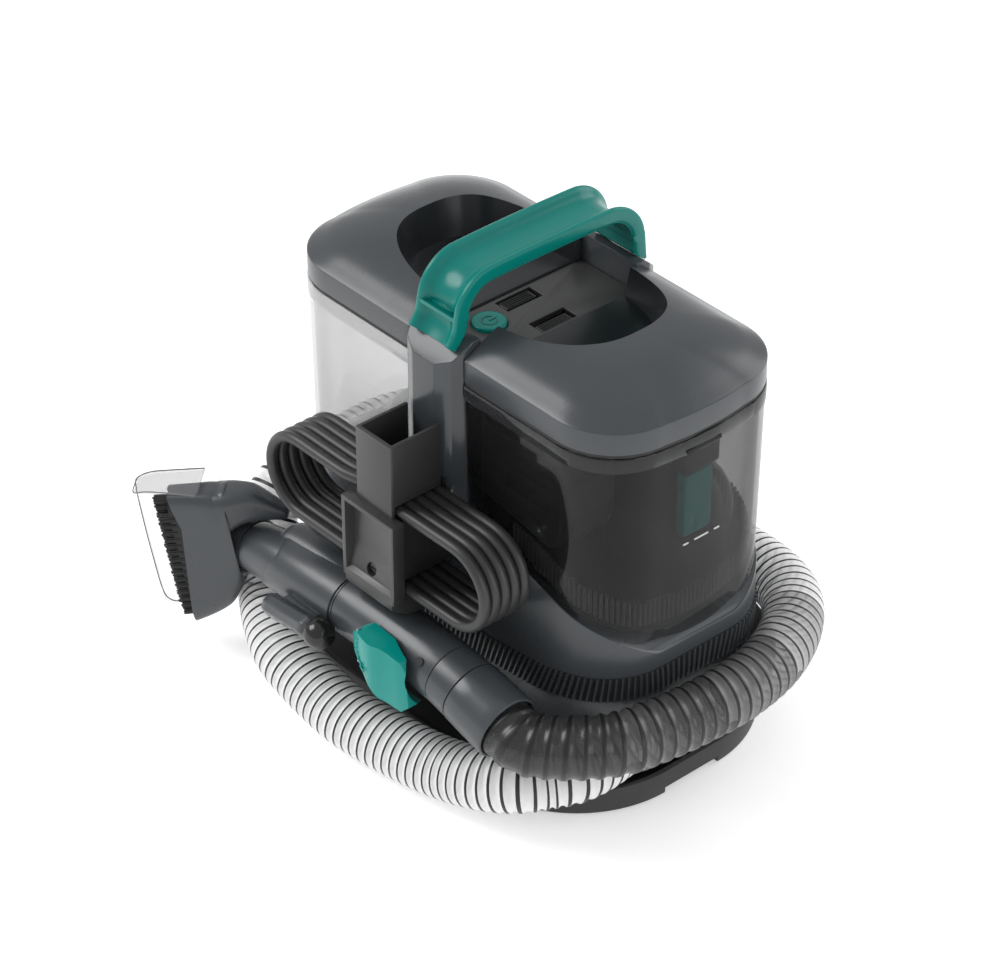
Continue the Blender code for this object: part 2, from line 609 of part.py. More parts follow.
def wand_tube(name, stations, finish, bore=15.5, sides=20, origin=(0, 0, 0)):
    """A tube along the wand; stations are (x, outer radius)."""
    def ring(x, radius):
        along = wand_point(x + 1) - wand_point(x - 1)
        return circle_ring(wand_point(x), along, radius, sides)
    outer = [ring(x, radius) for x, radius in stations]
    inner = [ring(x, bore) for x, _ in reversed(stations)]
    return loft(name, outer + inner, finish, None, origin)


def build_wand():
    wand_tube("wand_neck", [(-126, 16.8), (-112, 18), (-92, 19.4), (-29.5, WAND_RADIUS)], "grey_plastic", 14.5)
    wand_tube("wand_grip", [(-29.2, WAND_RADIUS), (0, 20.3), (32, 20.4), (60.5, 20.6)], "grey_plastic")
    wand_tube("wand_tail", [(60.8, 20.6), (69, 21), (76.4, 21.3)], "grey_plastic")
    start, end = wand_point(78.2), wand_point(112)
    along = end - start
    profile = ((0.0, 21.4), (0.75, 22.0), (1.0, 22.0), (1.0, 19.9), (0.72, 19.9), (0.72, 15.5), (0.0, 15.5))
    rings = [circle_ring(start + along * t, along, r, 20) for t, r in profile]
    loft("hose_cuff", rings, "grey_plastic", None, origin=start)
    build_trigger()
    valve = wand_point(-53) + Vector((0, -29.5, -8))
    ahead = Vector((0.99, 0, 0.09))
    body = rod("spray_valve", valve - ahead * 27, valve + ahead * 18, 7.6, "grey_plastic", sides=16)
    join(body, box("valve_bridge", (-71, WAND_Y - 28, 79), (-41, WAND_Y - 21.0, 86)))
    rod("valve_cap", valve + ahead * 18.4, valve + ahead * 33, 9.8, "dark_plastic", sides=16, bevel=3.5)
    seat, outward = wand_point(51.5), Vector((0, -0.81, 0.586))
    rod("wand_screw", seat + outward * 20.8, seat + outward * 21.6, 3, "steel", sides=12)


def build_trigger():
    front = [(3, 97), (4, 105), (10, 108.5), (30, 108.5), (46, 104), (49, 98), (50.5, 71), (46, 67), (30, 70),
             (22, 78), (14, 86), (5, 91)]
    plan = [(0, 6.0), (0, 27.0), (10, 31.0), (24, 34.0), (38, 30.5), (52, 23.5), (52, 6.0)]
    pin = (8.0, WAND_Y - 28)
    trigger = prism("spray_trigger", front, WAND_Y - 36, WAND_Y - 5, "teal_plastic", "xz", origin=(*pin, 96.0))
    boolean(trigger, prism("trigger_plan", [(x, WAND_Y - y) for x, y in plan], 50, 130), "INTERSECT")
    clear = [circle_ring(wand_point(x), (1, 0, 0), r)
             for x, r in ((-20, 23.0), (6, 23.0), (58, 27.0), (80, 27.0))]
    cut(trigger, loft("trigger_clear", clear), rod("pin_hole", (*pin, 60), (*pin, 125), 1.7, sides=12))
    rod("trigger_pin", (*pin, 84), (*pin, 109), 1.3, "steel", sides=12)


def slab_ring(centre, ahead, thick, height, shift=0.0, power=4.0, lift=0.0):
    """A superellipse across a direction: thick sideways and height upwards, shifted and lifted."""
    across = ahead.cross(Vector((0, 0, 1))).normalized()
    tall = across.cross(ahead).normalized()
    points = []
    for i in range(24):
        angle = 2 * math.pi * (i + 0.5) / 24
        c, s = math.cos(angle), math.sin(angle)
        u = math.copysign(abs(c) ** (2 / power), c) * thick / 2 + shift
        v = math.copysign(abs(s) ** (2 / power), s) * height / 2 + lift
        points.append(centre + across * u + tall * v)
    return points


def build_tool():
    """Upholstery tool: a neck that flares into a tall flat nozzle, with a clear cover and a brush."""
    joint = wand_point(TOOL_START)
    neck_ahead = Vector((-1, 0, -0.137)).normalized()
    turn_ahead = (neck_ahead + TOOL_HEADING).normalized()

    def section(distance, thick, height, shift=0.0, power=4.0, lift=0.0):
        return slab_ring(joint + TOOL_HEADING * distance, TOOL_HEADING, thick, height, shift, power, lift)

    rings = [slab_ring(wand_point(-126.9), neck_ahead, 34.4, 34.4, power=2.0),
             slab_ring(wand_point(-131), neck_ahead, 35.2, 35.2, power=2.0),
             slab_ring(joint + Vector((-9, -3, -0.9)), turn_ahead, 36, 37, power=2.0)]
    flare = ((9, 32, 62, 2.8, 4.5), (16, 31, 82, 3.2, 5.5), (24, 28, 97, 4.0, 2.5), (48, 23, 106, 5.0, 0.0))
    rings += [section(d, thick, height, 0.0, power, lift) for d, thick, height, power, lift in flare]
    body = loft("tool_body", rings, "grey_plastic", "face", sharp=30)
    cut(body, loft("tool_mouth", [section(34, 17, 88, 0.0, 5.0), section(52, 19, 100, 0.0, 5.0)]))
    loft("tool_brush", [section(36, 11.0, 82, 0.0, 6.0), section(64, 11.0, 88, 0.0, 6.0)], "bristle")
    cover = ((18, 44, 18.0), (25, 88, 17.0), (48, 102.6, 13.6), (62, 102.6, 13.4), (74, 97, 11.5))
    loft("tool_window", [section(d, 2.2, height, side, 8.0) for d, height, side in cover], "clear_plastic")


# ---------------------------------------------------------------- hose

HOSE_ROUTE = [
    (116.4, -118, 79.1), (126.4, -117.2, 77.2), (138, -109.5, 76.8), (152, -96, 77.5), (165, -75, 78),
    (171, -48, 78), (174, -20, 78), (174.5, 12, 78), (168, 47, 78), (153, 78, 78), (130, 101, 78), (100, 110, 78),
    (50, 110, 78), (0, 110, 78), (-50, 110, 78), (-100, 108, 78), (-135, 99, 79), (-160, 78, 80), (-173, 50, 82),
    (-178, 20, 83), (-178, -15, 81), (-178.5, -40, 78), (-177, -60, 72), (-172.5, -72.7, 61.6), (-166, -82.2, 46),
    (-153, -92.4, 35.8), (-129, -109.6, 33.6), (-108, -122.5, 32), (-78, -134, 28), (-30, -137.5, 22),
    (2, -135.3, 20.2), (34, -130.6, 20.2), (63, -125.8, 22.6), (93, -119.7, 29.4), (113, -109.7, 34.9),
    (124, -95, 37), (131.5, -82, 38.5), (133, -64, 38.5), (129, -42, 36), (126, -20, 28), (125.2, 5, 26),
    (122, 38, 26), (105, 66, 26), (78, 80.4, 26), (60, 81.2, 26), (40.1, 81.2, 26),
]


def build_hose():
    points = smooth_path(HOSE_ROUTE, 33)
    curve = bpy.data.curves.new("hose", "CURVE")
    curve.dimensions = "3D"
    curve.bevel_depth = HOSE_DIAMETER / 2 * MM
    curve.bevel_resolution = 4
    curve.use_fill_caps = True
    line = curve.splines.new("POLY")
    line.points.add(len(points) - 1)
    for target, point in zip(line.points, points):
        target.co = (*(point * MM), 1)
    curve.materials.append(MATERIALS["hose"])
    obj = bpy.data.objects.new("hose", curve)
    obj.parent = FRAME
    PARTS.objects.link(obj)


build_tray()
build_core()
build_hose_shelf()
build_housing()
build_covers()
build_inside()
build_hose_port()
build_column()
build_handle()
build_tanks()
build_lids()
build_recovery_parts()
build_bracket()
build_hank()
build_wand()
build_tool()
build_hose()
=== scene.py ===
"""Looks of the portable carpet spot cleaner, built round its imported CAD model.

Shapes are written in millimetres from the middle of the machine's body and are placed in the row frame by shift().
+X points to the recovery tank, -Y to the front with the wand, +Z up.
"""

import math

import bmesh
import bpy
from mathutils import Matrix, Vector


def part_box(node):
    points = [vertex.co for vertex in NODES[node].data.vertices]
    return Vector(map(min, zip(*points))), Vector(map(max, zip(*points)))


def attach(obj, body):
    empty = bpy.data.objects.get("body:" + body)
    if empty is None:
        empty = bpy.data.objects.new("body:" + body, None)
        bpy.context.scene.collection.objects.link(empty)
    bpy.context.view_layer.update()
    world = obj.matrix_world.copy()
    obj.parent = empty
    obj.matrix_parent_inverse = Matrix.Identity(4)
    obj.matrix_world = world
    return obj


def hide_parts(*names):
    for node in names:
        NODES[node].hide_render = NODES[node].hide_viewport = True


MM = 0.001
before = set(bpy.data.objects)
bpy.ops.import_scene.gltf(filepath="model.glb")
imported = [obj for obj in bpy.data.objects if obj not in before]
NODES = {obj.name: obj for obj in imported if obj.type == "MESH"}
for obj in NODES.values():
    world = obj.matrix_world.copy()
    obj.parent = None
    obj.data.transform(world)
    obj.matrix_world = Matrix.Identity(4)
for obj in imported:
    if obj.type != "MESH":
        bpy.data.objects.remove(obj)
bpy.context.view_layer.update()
_low, _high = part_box("base_tray")
SHIFT = Vector(((_low.x + _high.x) / 2, (_low.y + _high.y) / 2, 0.0)) / MM

# Sizes of the body, as in the CAD model
TANK_LENGTH, TANK_DEPTH, TANK_CORNER, TANK_TAPER = 152.4, 75.3, 44.0, 1.6
COLUMN_HALF = 24.6
LID_BOTTOM, LID_TOP = 264.8, 297.0
SEAM_END, SEAM_RISE = 114.0, 34.0
WALL = 2.4
SCOOP_POWER, SCOOP_BACK = 2 / 2.6, 4.0
HANDLE_TOP, HANDLE_HALF = 330.0, 18.3
CORE_TOP = 60.2
MOTOR_X, MOTOR_Y = 86.0, 20.0
PUMP_X, PUMP_Y = -60.0, -18.0
VALVE = (-95.0, 30.0)
HOSE_DIAMETER = 39.0
RIB_PITCH, RIB_PITCH_STRETCHED = 6.5, 9.6
STRETCHED_REACH = (110.0, 260.0)   # the hose is drawn out by the cuff, and eases to its own pitch between these
FADE_TURNS = (8, 15, 22, 29)   # hose turns after which the painted shade on the film by the cuff gets a step lighter
CORD_DIAMETER, CORD_TURNS = 7.6, 5
HANK_BACK, HANK_LOW, HANK_HIGH, HANK_LEFT, HANK_RIGHT = -84.0, 133.0, 187.0, -108.0, 92.0
WAND_Y, WAND_TOP, WAND_RADIUS = -118.0, 92.2, 20.3
TOOL_START = -130.0
TOOL_HEADING = Vector((-0.742, -0.651, -0.165)).normalized()
BUTTON = (-7.0, -28.0)
LENS, CAMERA_PLACE = 132.72, (1385.83682, -1241.38665, 1467.94877)
VIEW_BACK = Vector((0.61154582, -0.53649289, 0.58153856))   # from the machine towards the camera


def shift(point):
    """A body point in millimetres as a row-frame point in metres."""
    return (Vector(point) + SHIFT) * MM


# ---------------------------------------------------------------- camera, floor and light

def build_camera():
    data = bpy.data.cameras.new("camera")
    data.sensor_fit, data.sensor_width, data.lens = "HORIZONTAL", 36.0, LENS
    data.clip_start, data.clip_end = 0.1, 30.0
    camera = bpy.data.objects.new("camera", data)
    camera.location = shift(CAMERA_PLACE)
    camera.rotation_euler = VIEW_BACK.to_track_quat("Z", "Y").to_euler()
    bpy.context.scene.collection.objects.link(camera)
    bpy.context.scene.camera = camera


def build_floor():
    bm = bmesh.new()
    bmesh.ops.create_grid(bm, x_segments=2, y_segments=2, size=6.0)
    mesh = bpy.data.meshes.new("studio_floor")
    bm.to_mesh(mesh)
    bm.free()
    floor = bpy.data.objects.new("studio_floor", mesh)
    floor.location.z = -0.0005
    bpy.context.scene.collection.objects.link(floor)
    made = bpy.data.materials.new("studio_white")
    made.use_nodes = True
    shader = made.node_tree.nodes["Principled BSDF"]
    shader.inputs["Base Color"].default_value = (0.93, 0.93, 0.93, 1)
    shader.inputs["Roughness"].default_value = 0.9
    shader.inputs["Emission Color"].default_value = (1, 1, 1, 1)
    shader.inputs["Emission Strength"].default_value = 0.38
    mesh.materials.append(made)


def add_area(name, place, aim, size, power, size_y=None):
    data = bpy.data.lights.new(name, "AREA")
    data.shape = "RECTANGLE"
    data.size, data.size_y, data.energy = size, size_y or size, power
    light = bpy.data.objects.new(name, data)
    light.location = place
    light.rotation_euler = (Vector(place) - Vector(aim)).to_track_quat("Z", "Y").to_euler()
    bpy.context.scene.collection.objects.link(light)


def build_lights():
    world = bpy.data.worlds.new("studio")
    bpy.context.scene.world = world
    world.use_nodes = True
    back = world.node_tree.nodes["Background"]
    back.inputs["Color"].default_value = (1, 1, 1, 1)
    back.inputs["Strength"].default_value = 0.62
    add_area("key_left", (-1.7, -1.3, 2.0), (0, 0, 0.15), 1.4, 40)
    add_area("rim_back", (0.6, 2.4, 1.5), (0, 0, 0.15), 1.8, 24)
    add_area("fill_right", (2.6, 0.2, 1.0), (0, 0, 0.15), 1.2, 12)
    view = bpy.context.scene.view_settings
    view.view_transform = "Standard"
    view.look = "None"


# ---------------------------------------------------------------- materials

def nodes_of(made):
    return made.node_tree.nodes, made.node_tree.links


def new_material(name, colour, roughness):
    made = bpy.data.materials.new(name)
    made.use_nodes = True
    shader = made.node_tree.nodes["Principled BSDF"]
    shader.inputs["Base Color"].default_value = (*colour, 1)
    shader.inputs["Roughness"].default_value = roughness
    return made, shader


def add_grain(made, shader, colour, roughness, scale, depth, spread, rough_spread):
    """Moulded plastic: fine bump, a slow drift of tone, and uneven gloss."""
    nodes, links = nodes_of(made)
    place = nodes.new("ShaderNodeTexCoord")
    fine = nodes.new("ShaderNodeTexNoise")
    fine.inputs["Scale"].default_value = scale
    fine.inputs["Detail"].default_value = 3.0
    links.new(place.outputs["Object"], fine.inputs["Vector"])
    bump = nodes.new("ShaderNodeBump")
    bump.inputs["Strength"].default_value = depth
    bump.inputs["Distance"].default_value = 0.0002
    links.new(fine.outputs["Fac"], bump.inputs["Height"])
    links.new(bump.outputs["Normal"], shader.inputs["Normal"])
    slow = nodes.new("ShaderNodeTexNoise")
    slow.inputs["Scale"].default_value = 14.0
    slow.inputs["Detail"].default_value = 4.0
    links.new(place.outputs["Object"], slow.inputs["Vector"])
    tone = nodes.new("ShaderNodeValToRGB")
    tone.color_ramp.elements[0].position, tone.color_ramp.elements[1].position = 0.3, 0.7
    tone.color_ramp.elements[0].color = (*[c * (1 - spread) for c in colour], 1)
    tone.color_ramp.elements[1].color = (*[c * (1 + spread) for c in colour], 1)
    links.new(slow.outputs["Fac"], tone.inputs["Fac"])
    links.new(tone.outputs["Color"], shader.inputs["Base Color"])
    gloss = nodes.new("ShaderNodeMapRange")
    gloss.inputs["From Min"].default_value, gloss.inputs["From Max"].default_value = 0.3, 0.7
    gloss.inputs["To Min"].default_value = roughness - rough_spread
    gloss.inputs["To Max"].default_value = roughness + rough_spread
    links.new(slow.outputs["Fac"], gloss.inputs["Value"])
    links.new(gloss.outputs["Result"], shader.inputs["Roughness"])


def moulded(name, colour, roughness, scale=1400.0, depth=0.18, spread=0.05, rough_spread=0.04):
    made, shader = new_material(name, colour, roughness)
    add_grain(made, shader, colour, roughness, scale, depth, spread, rough_spread)
    return made


def see_through(name, colour, face, edge, roughness=0.06, blend=0.45):
    """A thin clear wall: nearly open face on, denser and shinier where it is seen edge on."""
    made, shader = new_material(name, colour, roughness)
    nodes, links = nodes_of(made)
    facing = nodes.new("ShaderNodeLayerWeight")
    facing.inputs["Blend"].default_value = blend
    dense = nodes.new("ShaderNodeMapRange")
    dense.inputs["To Min"].default_value, dense.inputs["To Max"].default_value = face, edge
    links.new(facing.outputs["Facing"], dense.inputs["Value"])
    links.new(dense.outputs["Result"], shader.inputs["Alpha"])
    place = nodes.new("ShaderNodeTexCoord")
    wave = nodes.new("ShaderNodeTexNoise")
    wave.inputs["Scale"].default_value = 22.0
    links.new(place.outputs["Object"], wave.inputs["Vector"])
    bump = nodes.new("ShaderNodeBump")
    bump.inputs["Strength"].default_value = 0.06
    bump.inputs["Distance"].default_value = 0.002
    links.new(wave.outputs["Fac"], bump.inputs["Height"])
    links.new(bump.outputs["Normal"], shader.inputs["Normal"])
    made.surface_render_method = "BLENDED"
    return made


def make_materials():
    found = {
        "grey": moulded("grey_plastic", (0.050, 0.056, 0.062), 0.27),
        "dark": moulded("dark_plastic", (0.020, 0.020, 0.021), 0.38, depth=0.25),
        "tray": moulded("tray_plastic", (0.026, 0.026, 0.027), 0.50, scale=1000.0, depth=0.35),
        # The scoop finish is darker than the lid grey: painted shade in the finger scoops.
        "scoop": moulded("scoop_painted_shade", (0.014, 0.016, 0.018), 0.24, depth=0.08),
        "column": moulded("column_plastic", (0.046, 0.052, 0.058), 0.16, depth=0.06, rough_spread=0.02),
        "deck": moulded("deck_plastic", (0.052, 0.052, 0.053), 0.42),
        "teal": moulded("teal_plastic", (0.0, 0.190, 0.162), 0.26, depth=0.08, spread=0.03),
        "trigger": moulded("trigger_plastic", (0.0, 0.270, 0.235), 0.30, depth=0.08, spread=0.03),
        "clear": see_through("clear_plastic", (0.50, 0.50, 0.50), 0.075, 0.62),
        "smoke": see_through("smoked_plastic", (0.012, 0.012, 0.0125), 0.20, 0.84, 0.05, 0.36),
        "window": see_through("window_plastic", (0.26, 0.26, 0.265), 0.03, 0.88, 0.06, 0.24),
        "window_edge": moulded("window_edge", (0.16, 0.16, 0.162), 0.25, depth=0.05),
        "pleat": moulded("pleated_filter", (0.050, 0.050, 0.050), 0.55, depth=0.2),
        "rubber": moulded("rubber", (0.022, 0.022, 0.022), 0.70, scale=900.0, depth=0.3),
        "bristle": moulded("bristle_fibre", (0.006, 0.006, 0.007), 0.55, scale=2200.0, depth=0.2),
        "cord": moulded("cord_jacket", (0.030, 0.030, 0.031), 0.42, scale=1100.0, depth=0.2),
        "steel": moulded("brushed_steel", (0.50, 0.50, 0.52), 0.28, scale=700.0, depth=0.1),
        "board": moulded("board_mask", (0.015, 0.110, 0.040), 0.45, scale=300.0, depth=0.1),
        "mark": moulded("printed_mark", (0.72, 0.72, 0.72), 0.50, depth=0.05, spread=0.02),
        "rib": moulded("hose_rib", (0.006, 0.006, 0.006), 0.40, scale=900.0, depth=0.1),
        "film": see_through("hose_film", (0.95, 0.95, 0.95), 0.66, 0.97, 0.24, 0.5),
        "inner": moulded("inner_black", (0.007, 0.007, 0.007), 0.55, depth=0.15),
        "rim_smoke": see_through("rim_smoked", (0.035, 0.036, 0.038), 0.45, 0.85, 0.10),
        "rim_clear": see_through("rim_clear", (0.45, 0.45, 0.45), 0.14, 0.65, 0.10),
        "bracket": moulded("bracket_plastic", (0.036, 0.036, 0.036), 0.30, depth=0.12),
        "gloss_dark": moulded("gloss_dark_plastic", (0.012, 0.012, 0.012), 0.16, depth=0.05),
        "mark_teal": moulded("icon_teal", (0.004, 0.110, 0.095), 0.35, depth=0.05),
        # A near-black finish that paints shade: the recess behind the skirt ribs and the latch notch.
        "seam": moulded("seam_shadow", (0.006, 0.006, 0.006), 0.80, depth=0.05),
    }
    # Darker copies of the hose film for the turns by the cuff: painted shade for the dark seen through the hose
    # there, a step lighter for each copy.
    for step, grey, blue, face in (("near", 0.040, 0.041, 0.70), ("next", 0.085, 0.086, 0.68),
                                   ("mid", 0.20, 0.202, 0.66), ("far", 0.48, 0.482, 0.66)):
        found[f"film_{step}"] = see_through(f"hose_film_{step}", (grey, grey, blue), face, 0.95, 0.26, 0.5)
    for key, level in (("teal", 0.32), ("trigger", 0.4), ("inner", 0.25), ("scoop", 0.4)):
        found[key].node_tree.nodes["Principled BSDF"].inputs["Specular IOR Level"].default_value = level
    found["steel"].node_tree.nodes["Principled BSDF"].inputs["Metallic"].default_value = 1.0
    return found


MATERIALS = make_materials()


# ---------------------------------------------------------------- mesh helpers

def piece(name, bm, finish, body, nodes=(), sharp=35, bevel=0.0, segments=3):
    """A smooth-shaded piece from a bmesh in body millimetres, riding on a body."""
    bm.normal_update()
    bmesh.ops.recalc_face_normals(bm, faces=bm.faces)
    bm.transform(Matrix.Scale(MM, 4) @ Matrix.Translation(SHIFT))
    mesh = bpy.data.meshes.new(name)
    bm.to_mesh(mesh)
    bm.free()
    obj = bpy.data.objects.new(name, mesh)
    bpy.context.scene.collection.objects.link(obj)
    for key in (finish,) if isinstance(finish, str) else finish:
        mesh.materials.append(MATERIALS[key])
    mesh.shade_smooth()
    mesh.set_sharp_from_angle(angle=math.radians(sharp))
    if bevel:
        add_bevel(obj, bevel, segments)
    if body:
        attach(obj, body)
        if nodes:
            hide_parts(*nodes)
    return obj


def add_bevel(obj, width, segments=3, angle=38):
    modifier = obj.modifiers.new("bevel", "BEVEL")
    modifier.width = width * MM
    modifier.segments = segments
    modifier.limit_method = "ANGLE"
    modifier.angle_limit = math.radians(angle)
    modifier.harden_normals = False


def bake(obj, sharp=35):
    """Applies the modifiers, so that no helper is needed after this."""
    graph = bpy.context.evaluated_depsgraph_get()
    mesh = bpy.data.meshes.new_from_object(obj.evaluated_get(graph))
    obj.modifiers.clear()
    obj.data = mesh
    mesh.shade_smooth()
    mesh.set_sharp_from_angle(angle=math.radians(sharp))
    return obj


def combine(obj, others, operation):
    """A Boolean with each helper, applied, after which the helpers are removed."""
    for other in others:
        modifier = obj.modifiers.new(operation.lower(), "BOOLEAN")
        modifier.operation, modifier.object, modifier.solver = operation, other, "EXACT"
        modifier.material_mode = "TRANSFER"
    bpy.context.view_layer.update()
    bake(obj)
    for other in others:
        bpy.data.objects.remove(other, do_unlink=True)
    return obj


def cut(obj, *helpers):
    return combine(obj, helpers, "DIFFERENCE")


def join(obj, *helpers):
    return combine(obj, helpers, "UNION")


def bridge(bm, ring_a, ring_b):
    count = len(ring_a)
    for i in range(count):
        j = (i + 1) % count
        bm.faces.new((ring_a[i], ring_a[j], ring_b[j], ring_b[i]))


def mirror_cap(bm, ring):
    last = len(ring) - 1
    for i in range(len(ring) // 2 - 1):
        bm.faces.new((ring[i], ring[i + 1], ring[last - i - 1], ring[last - i]))


def loft_mesh(rings, cap="face", bm=None):
    bm = bm or bmesh.new()
    made = [[bm.verts.new(point) for point in ring] for ring in rings]
    for ring_a, ring_b in zip(made, made[1:]):
        bridge(bm, ring_a, ring_b)
    if cap is None:
        bridge(bm, made[-1], made[0])
    elif cap == "mirror":
        mirror_cap(bm, made[0])
        mirror_cap(bm, made[-1])
    elif cap == "face":
        bm.faces.new(made[0])
        bm.faces.new(made[-1])
    return bm


def solid(bm, finish):
    """A shape on no body, to be cut from a piece or joined to it."""
    return piece("helper", bm, finish, None)


def helper(rings, finish="grey", cap="face"):
    return solid(loft_mesh(rings, cap), finish)


def prism_mesh(outline, low, high, plane="xy", bm=None):
    place = {
        "xy": lambda u, v, w: (u, v, w),
        "xz": lambda u, v, w: (u, w, v),
        "yz": lambda u, v, w: (w, u, v),
    }[plane]
    return loft_mesh([[place(u, v, low) for u, v in outline], [place(u, v, high) for u, v in outline]],
                     "face", bm)


def box_mesh(low, high, bm=None):
    outline = [(low[0], low[1]), (high[0], low[1]), (high[0], high[1]), (low[0], high[1])]
    return prism_mesh(outline, low[2], high[2], bm=bm)


def circle_ring(centre, along, radius, sides=32):
    along = Vector(along).normalized()
    side = along.cross(Vector((0, 0, 1)))
    side = side.normalized() if side.length > 1e-4 else Vector((1, 0, 0))
    up = side.cross(along)
    return [Vector(centre) + radius * (side * math.cos(a) + up * math.sin(a))
            for a in (2 * math.pi * i / sides for i in range(sides))]


def turned_mesh(start, along, profile, sides=32, bm=None):
    """Rings along a line; the profile is (distance, radius)."""
    along = Vector(along).normalized()
    return loft_mesh([circle_ring(Vector(start) + along * d, along, r, sides) for d, r in profile], "face",
                     bm)


def arc(centre, radius, start, end, steps):
    angles = [math.radians(start + (end - start) * i / steps) for i in range(steps + 1)]
    return [(centre[0] + radius * math.cos(a), centre[1] + radius * math.sin(a)) for a in angles]


def mirrored(front):
    return front + [(x, -y) for x, y in reversed(front)]


def rounded(half_x, half_y, radius, steps=20, straight=0):
    left = arc((-half_x + radius, -half_y + radius), radius, 180, 270, steps)
    right = arc((half_x - radius, -half_y + radius), radius, 270, 360, steps)
    span = 2 * (half_x - radius)
    middle = [(-half_x + radius + span * i / (straight + 1), -half_y) for i in range(1, straight + 1)]
    return mirrored(left + middle + right)


def smooth_profile(points, steps=5, closed=False):
    """More points along a Catmull-Rom curve through tuples of any length."""
    points = [Vector(p) for p in points]
    count = len(points)
    fine = []
    for i in range(count if closed else count - 1):
        a, b, c, d = (points[k % count if closed else min(max(k, 0), count - 1)] for k in range(i - 1, i + 3))
        for step in range(steps):
            t = step / steps
            fine.append(0.5 * (2 * b + (c - a) * t + (2 * a - 5 * b + 4 * c - d) * t ** 2
                               + (3 * b - a - 3 * c + d) * t ** 3))
    return fine if closed else fine + [points[-1]]


def smooth_path(points, spacing):
    """Points along a smooth curve through the given ones, evenly spaced."""
    fine = smooth_profile(points, 12)
    length = sum((q - p).length for p, q in zip(fine, fine[1:]))
    count = max(2, round(length / spacing))
    even, walked, target = [fine[0]], 0.0, length / count
    for p, q in zip(fine, fine[1:]):
        step = (q - p).length
        while walked + step >= target - 1e-6 and len(even) < count:
            even.append(p.lerp(q, (target - walked) / step))
            target += length / count
        walked += step
    even.append(fine[-1])
    return even


def at_height(outline, height, side=1):
    lift = height if callable(height) else lambda x: height
    return [(side * x, y, lift(x)) for x, y in outline]


def seam_height(x):
    u = min(max((abs(x) - COLUMN_HALF) / (TANK_LENGTH - COLUMN_HALF), 0.0), 1.0)
    return SEAM_END + SEAM_RISE * (1 - u) + 22.0 * math.sqrt(max(0.0, 1 - u ** 6))


def tank_outline(inset=0.0, inner=COLUMN_HALF + 0.6, steps=20):
    length, depth = TANK_LENGTH - inset, TANK_DEPTH - inset
    radius = TANK_CORNER - inset / 2
    bulge = 2.5
    centre = (length - bulge - radius, -depth + radius)
    straight = [(inner + inset + (centre[0] - inner - inset) * i / 16, -depth) for i in range(16)]
    reach = depth - radius
    end = [(length - bulge * (y / reach) ** 2, y) for y in (-reach * (1 - i / 6) for i in range(1, 6))]
    return mirrored(straight + arc(centre, radius, 270, 360, steps) + end)


# ---------------------------------------------------------------- hose and mains cord

HOSE_ROUTE = [
    (116.4, -118, 79.1), (126.4, -117.2, 77.2), (138, -109.5, 76.8), (152, -96, 77.5), (165, -75, 78),
    (171, -48, 78), (174, -20, 78), (174.5, 12, 78), (168, 47, 78), (153, 78, 78), (130, 101, 78),
    (100, 110, 78),
    (50, 110, 78), (0, 110, 78), (-50, 110, 78), (-100, 108, 78), (-135, 99, 79), (-160, 78, 80),
    (-173, 50, 82),
    (-178, 20, 83), (-178, -15, 81), (-178.5, -40, 78), (-177, -60, 72), (-172.5, -72.7, 61.6),
    (-166, -82.2, 46),
    (-153, -92.4, 35.8), (-129, -109.6, 33.6), (-108, -122.5, 32), (-78, -134, 28), (-30, -137.5, 22),
    (2, -135.3, 20.2), (34, -130.6, 20.2), (63, -125.8, 22.6), (93, -119.7, 29.4), (113, -109.7, 34.9),
    (124, -95, 37), (131.5, -82, 38.5), (133, -64, 38.5), (129, -42, 36), (126, -20, 28), (125.2, 5, 26),
    (122, 38, 26), (105, 66, 26), (78, 80.4, 26), (60, 81.2, 26), (40.1, 81.2, 26),
]


def build_hose():
    """A thin wall blown over a dark spiral rib; the faces follow the spiral."""
    per_turn, sides = 8, 40
    even = smooth_path([wand_point(x) for x in (103.0, 109.0)] + HOSE_ROUTE, 0.25)
    path, target = [], 0.0
    for i, point in enumerate(even):
        if i * 0.25 >= target:
            path.append(point)
            near, far = STRETCHED_REACH
            ease = min(max((i * 0.25 - near) / (far - near), 0.0), 1.0)
            target += (RIB_PITCH_STRETCHED + (RIB_PITCH - RIB_PITCH_STRETCHED) * ease) / per_turn
    count = len(path)
    frames, up = [], None
    for i, point in enumerate(path):
        ahead = (path[min(i + 1, count - 1)] - path[max(i - 1, 0)]).normalized()
        side = ahead.cross(Vector((0, 0, 1))).normalized() if up is None else up.cross(ahead).normalized() * -1
        up = side.cross(ahead).normalized()
        frames.append((point, side, up))
    shape = (0.0, 0.05, 0.0, -0.75, -1.2, -1.35, -1.2, -0.75)   # how far the film dips between ribs
    bm = bmesh.new()
    columns = []
    for j in range(sides):
        angle = 2 * math.pi * j / sides
        column = []
        for i in range(count - per_turn):
            place = i + per_turn * j / sides
            low = int(place)
            part = place - low
            a, b = frames[low], frames[min(low + 1, count - 1)]
            centre, side, up = (a[k].lerp(b[k], part) for k in range(3))
            radius = HOSE_DIAMETER / 2 + shape[i % per_turn]
            column.append(bm.verts.new(centre + radius * (side * math.cos(angle) + up * math.sin(angle))))
        columns.append(column)
    for j in range(sides):
        here, there = columns[j], columns[(j + 1) % sides]
        step = per_turn if j == sides - 1 else 0
        for i in range(len(here) - 1 - step):
            face = bm.faces.new((here[i], here[i + 1], there[i + 1 + step], there[i + step]))
            # Film faces by the cuff take the darker copies, painted shade that steps lighter after each of
            # FADE_TURNS.
            stage = sum(i // per_turn >= turn for turn in FADE_TURNS)
            face.material_index = 0 if i % per_turn < 2 else 1 + stage
    films = ("rib", "film_near", "film_next", "film_mid", "film_far", "film")
    obj = piece("suction_hose", bm, films, "machine", ("hose",), sharp=80)


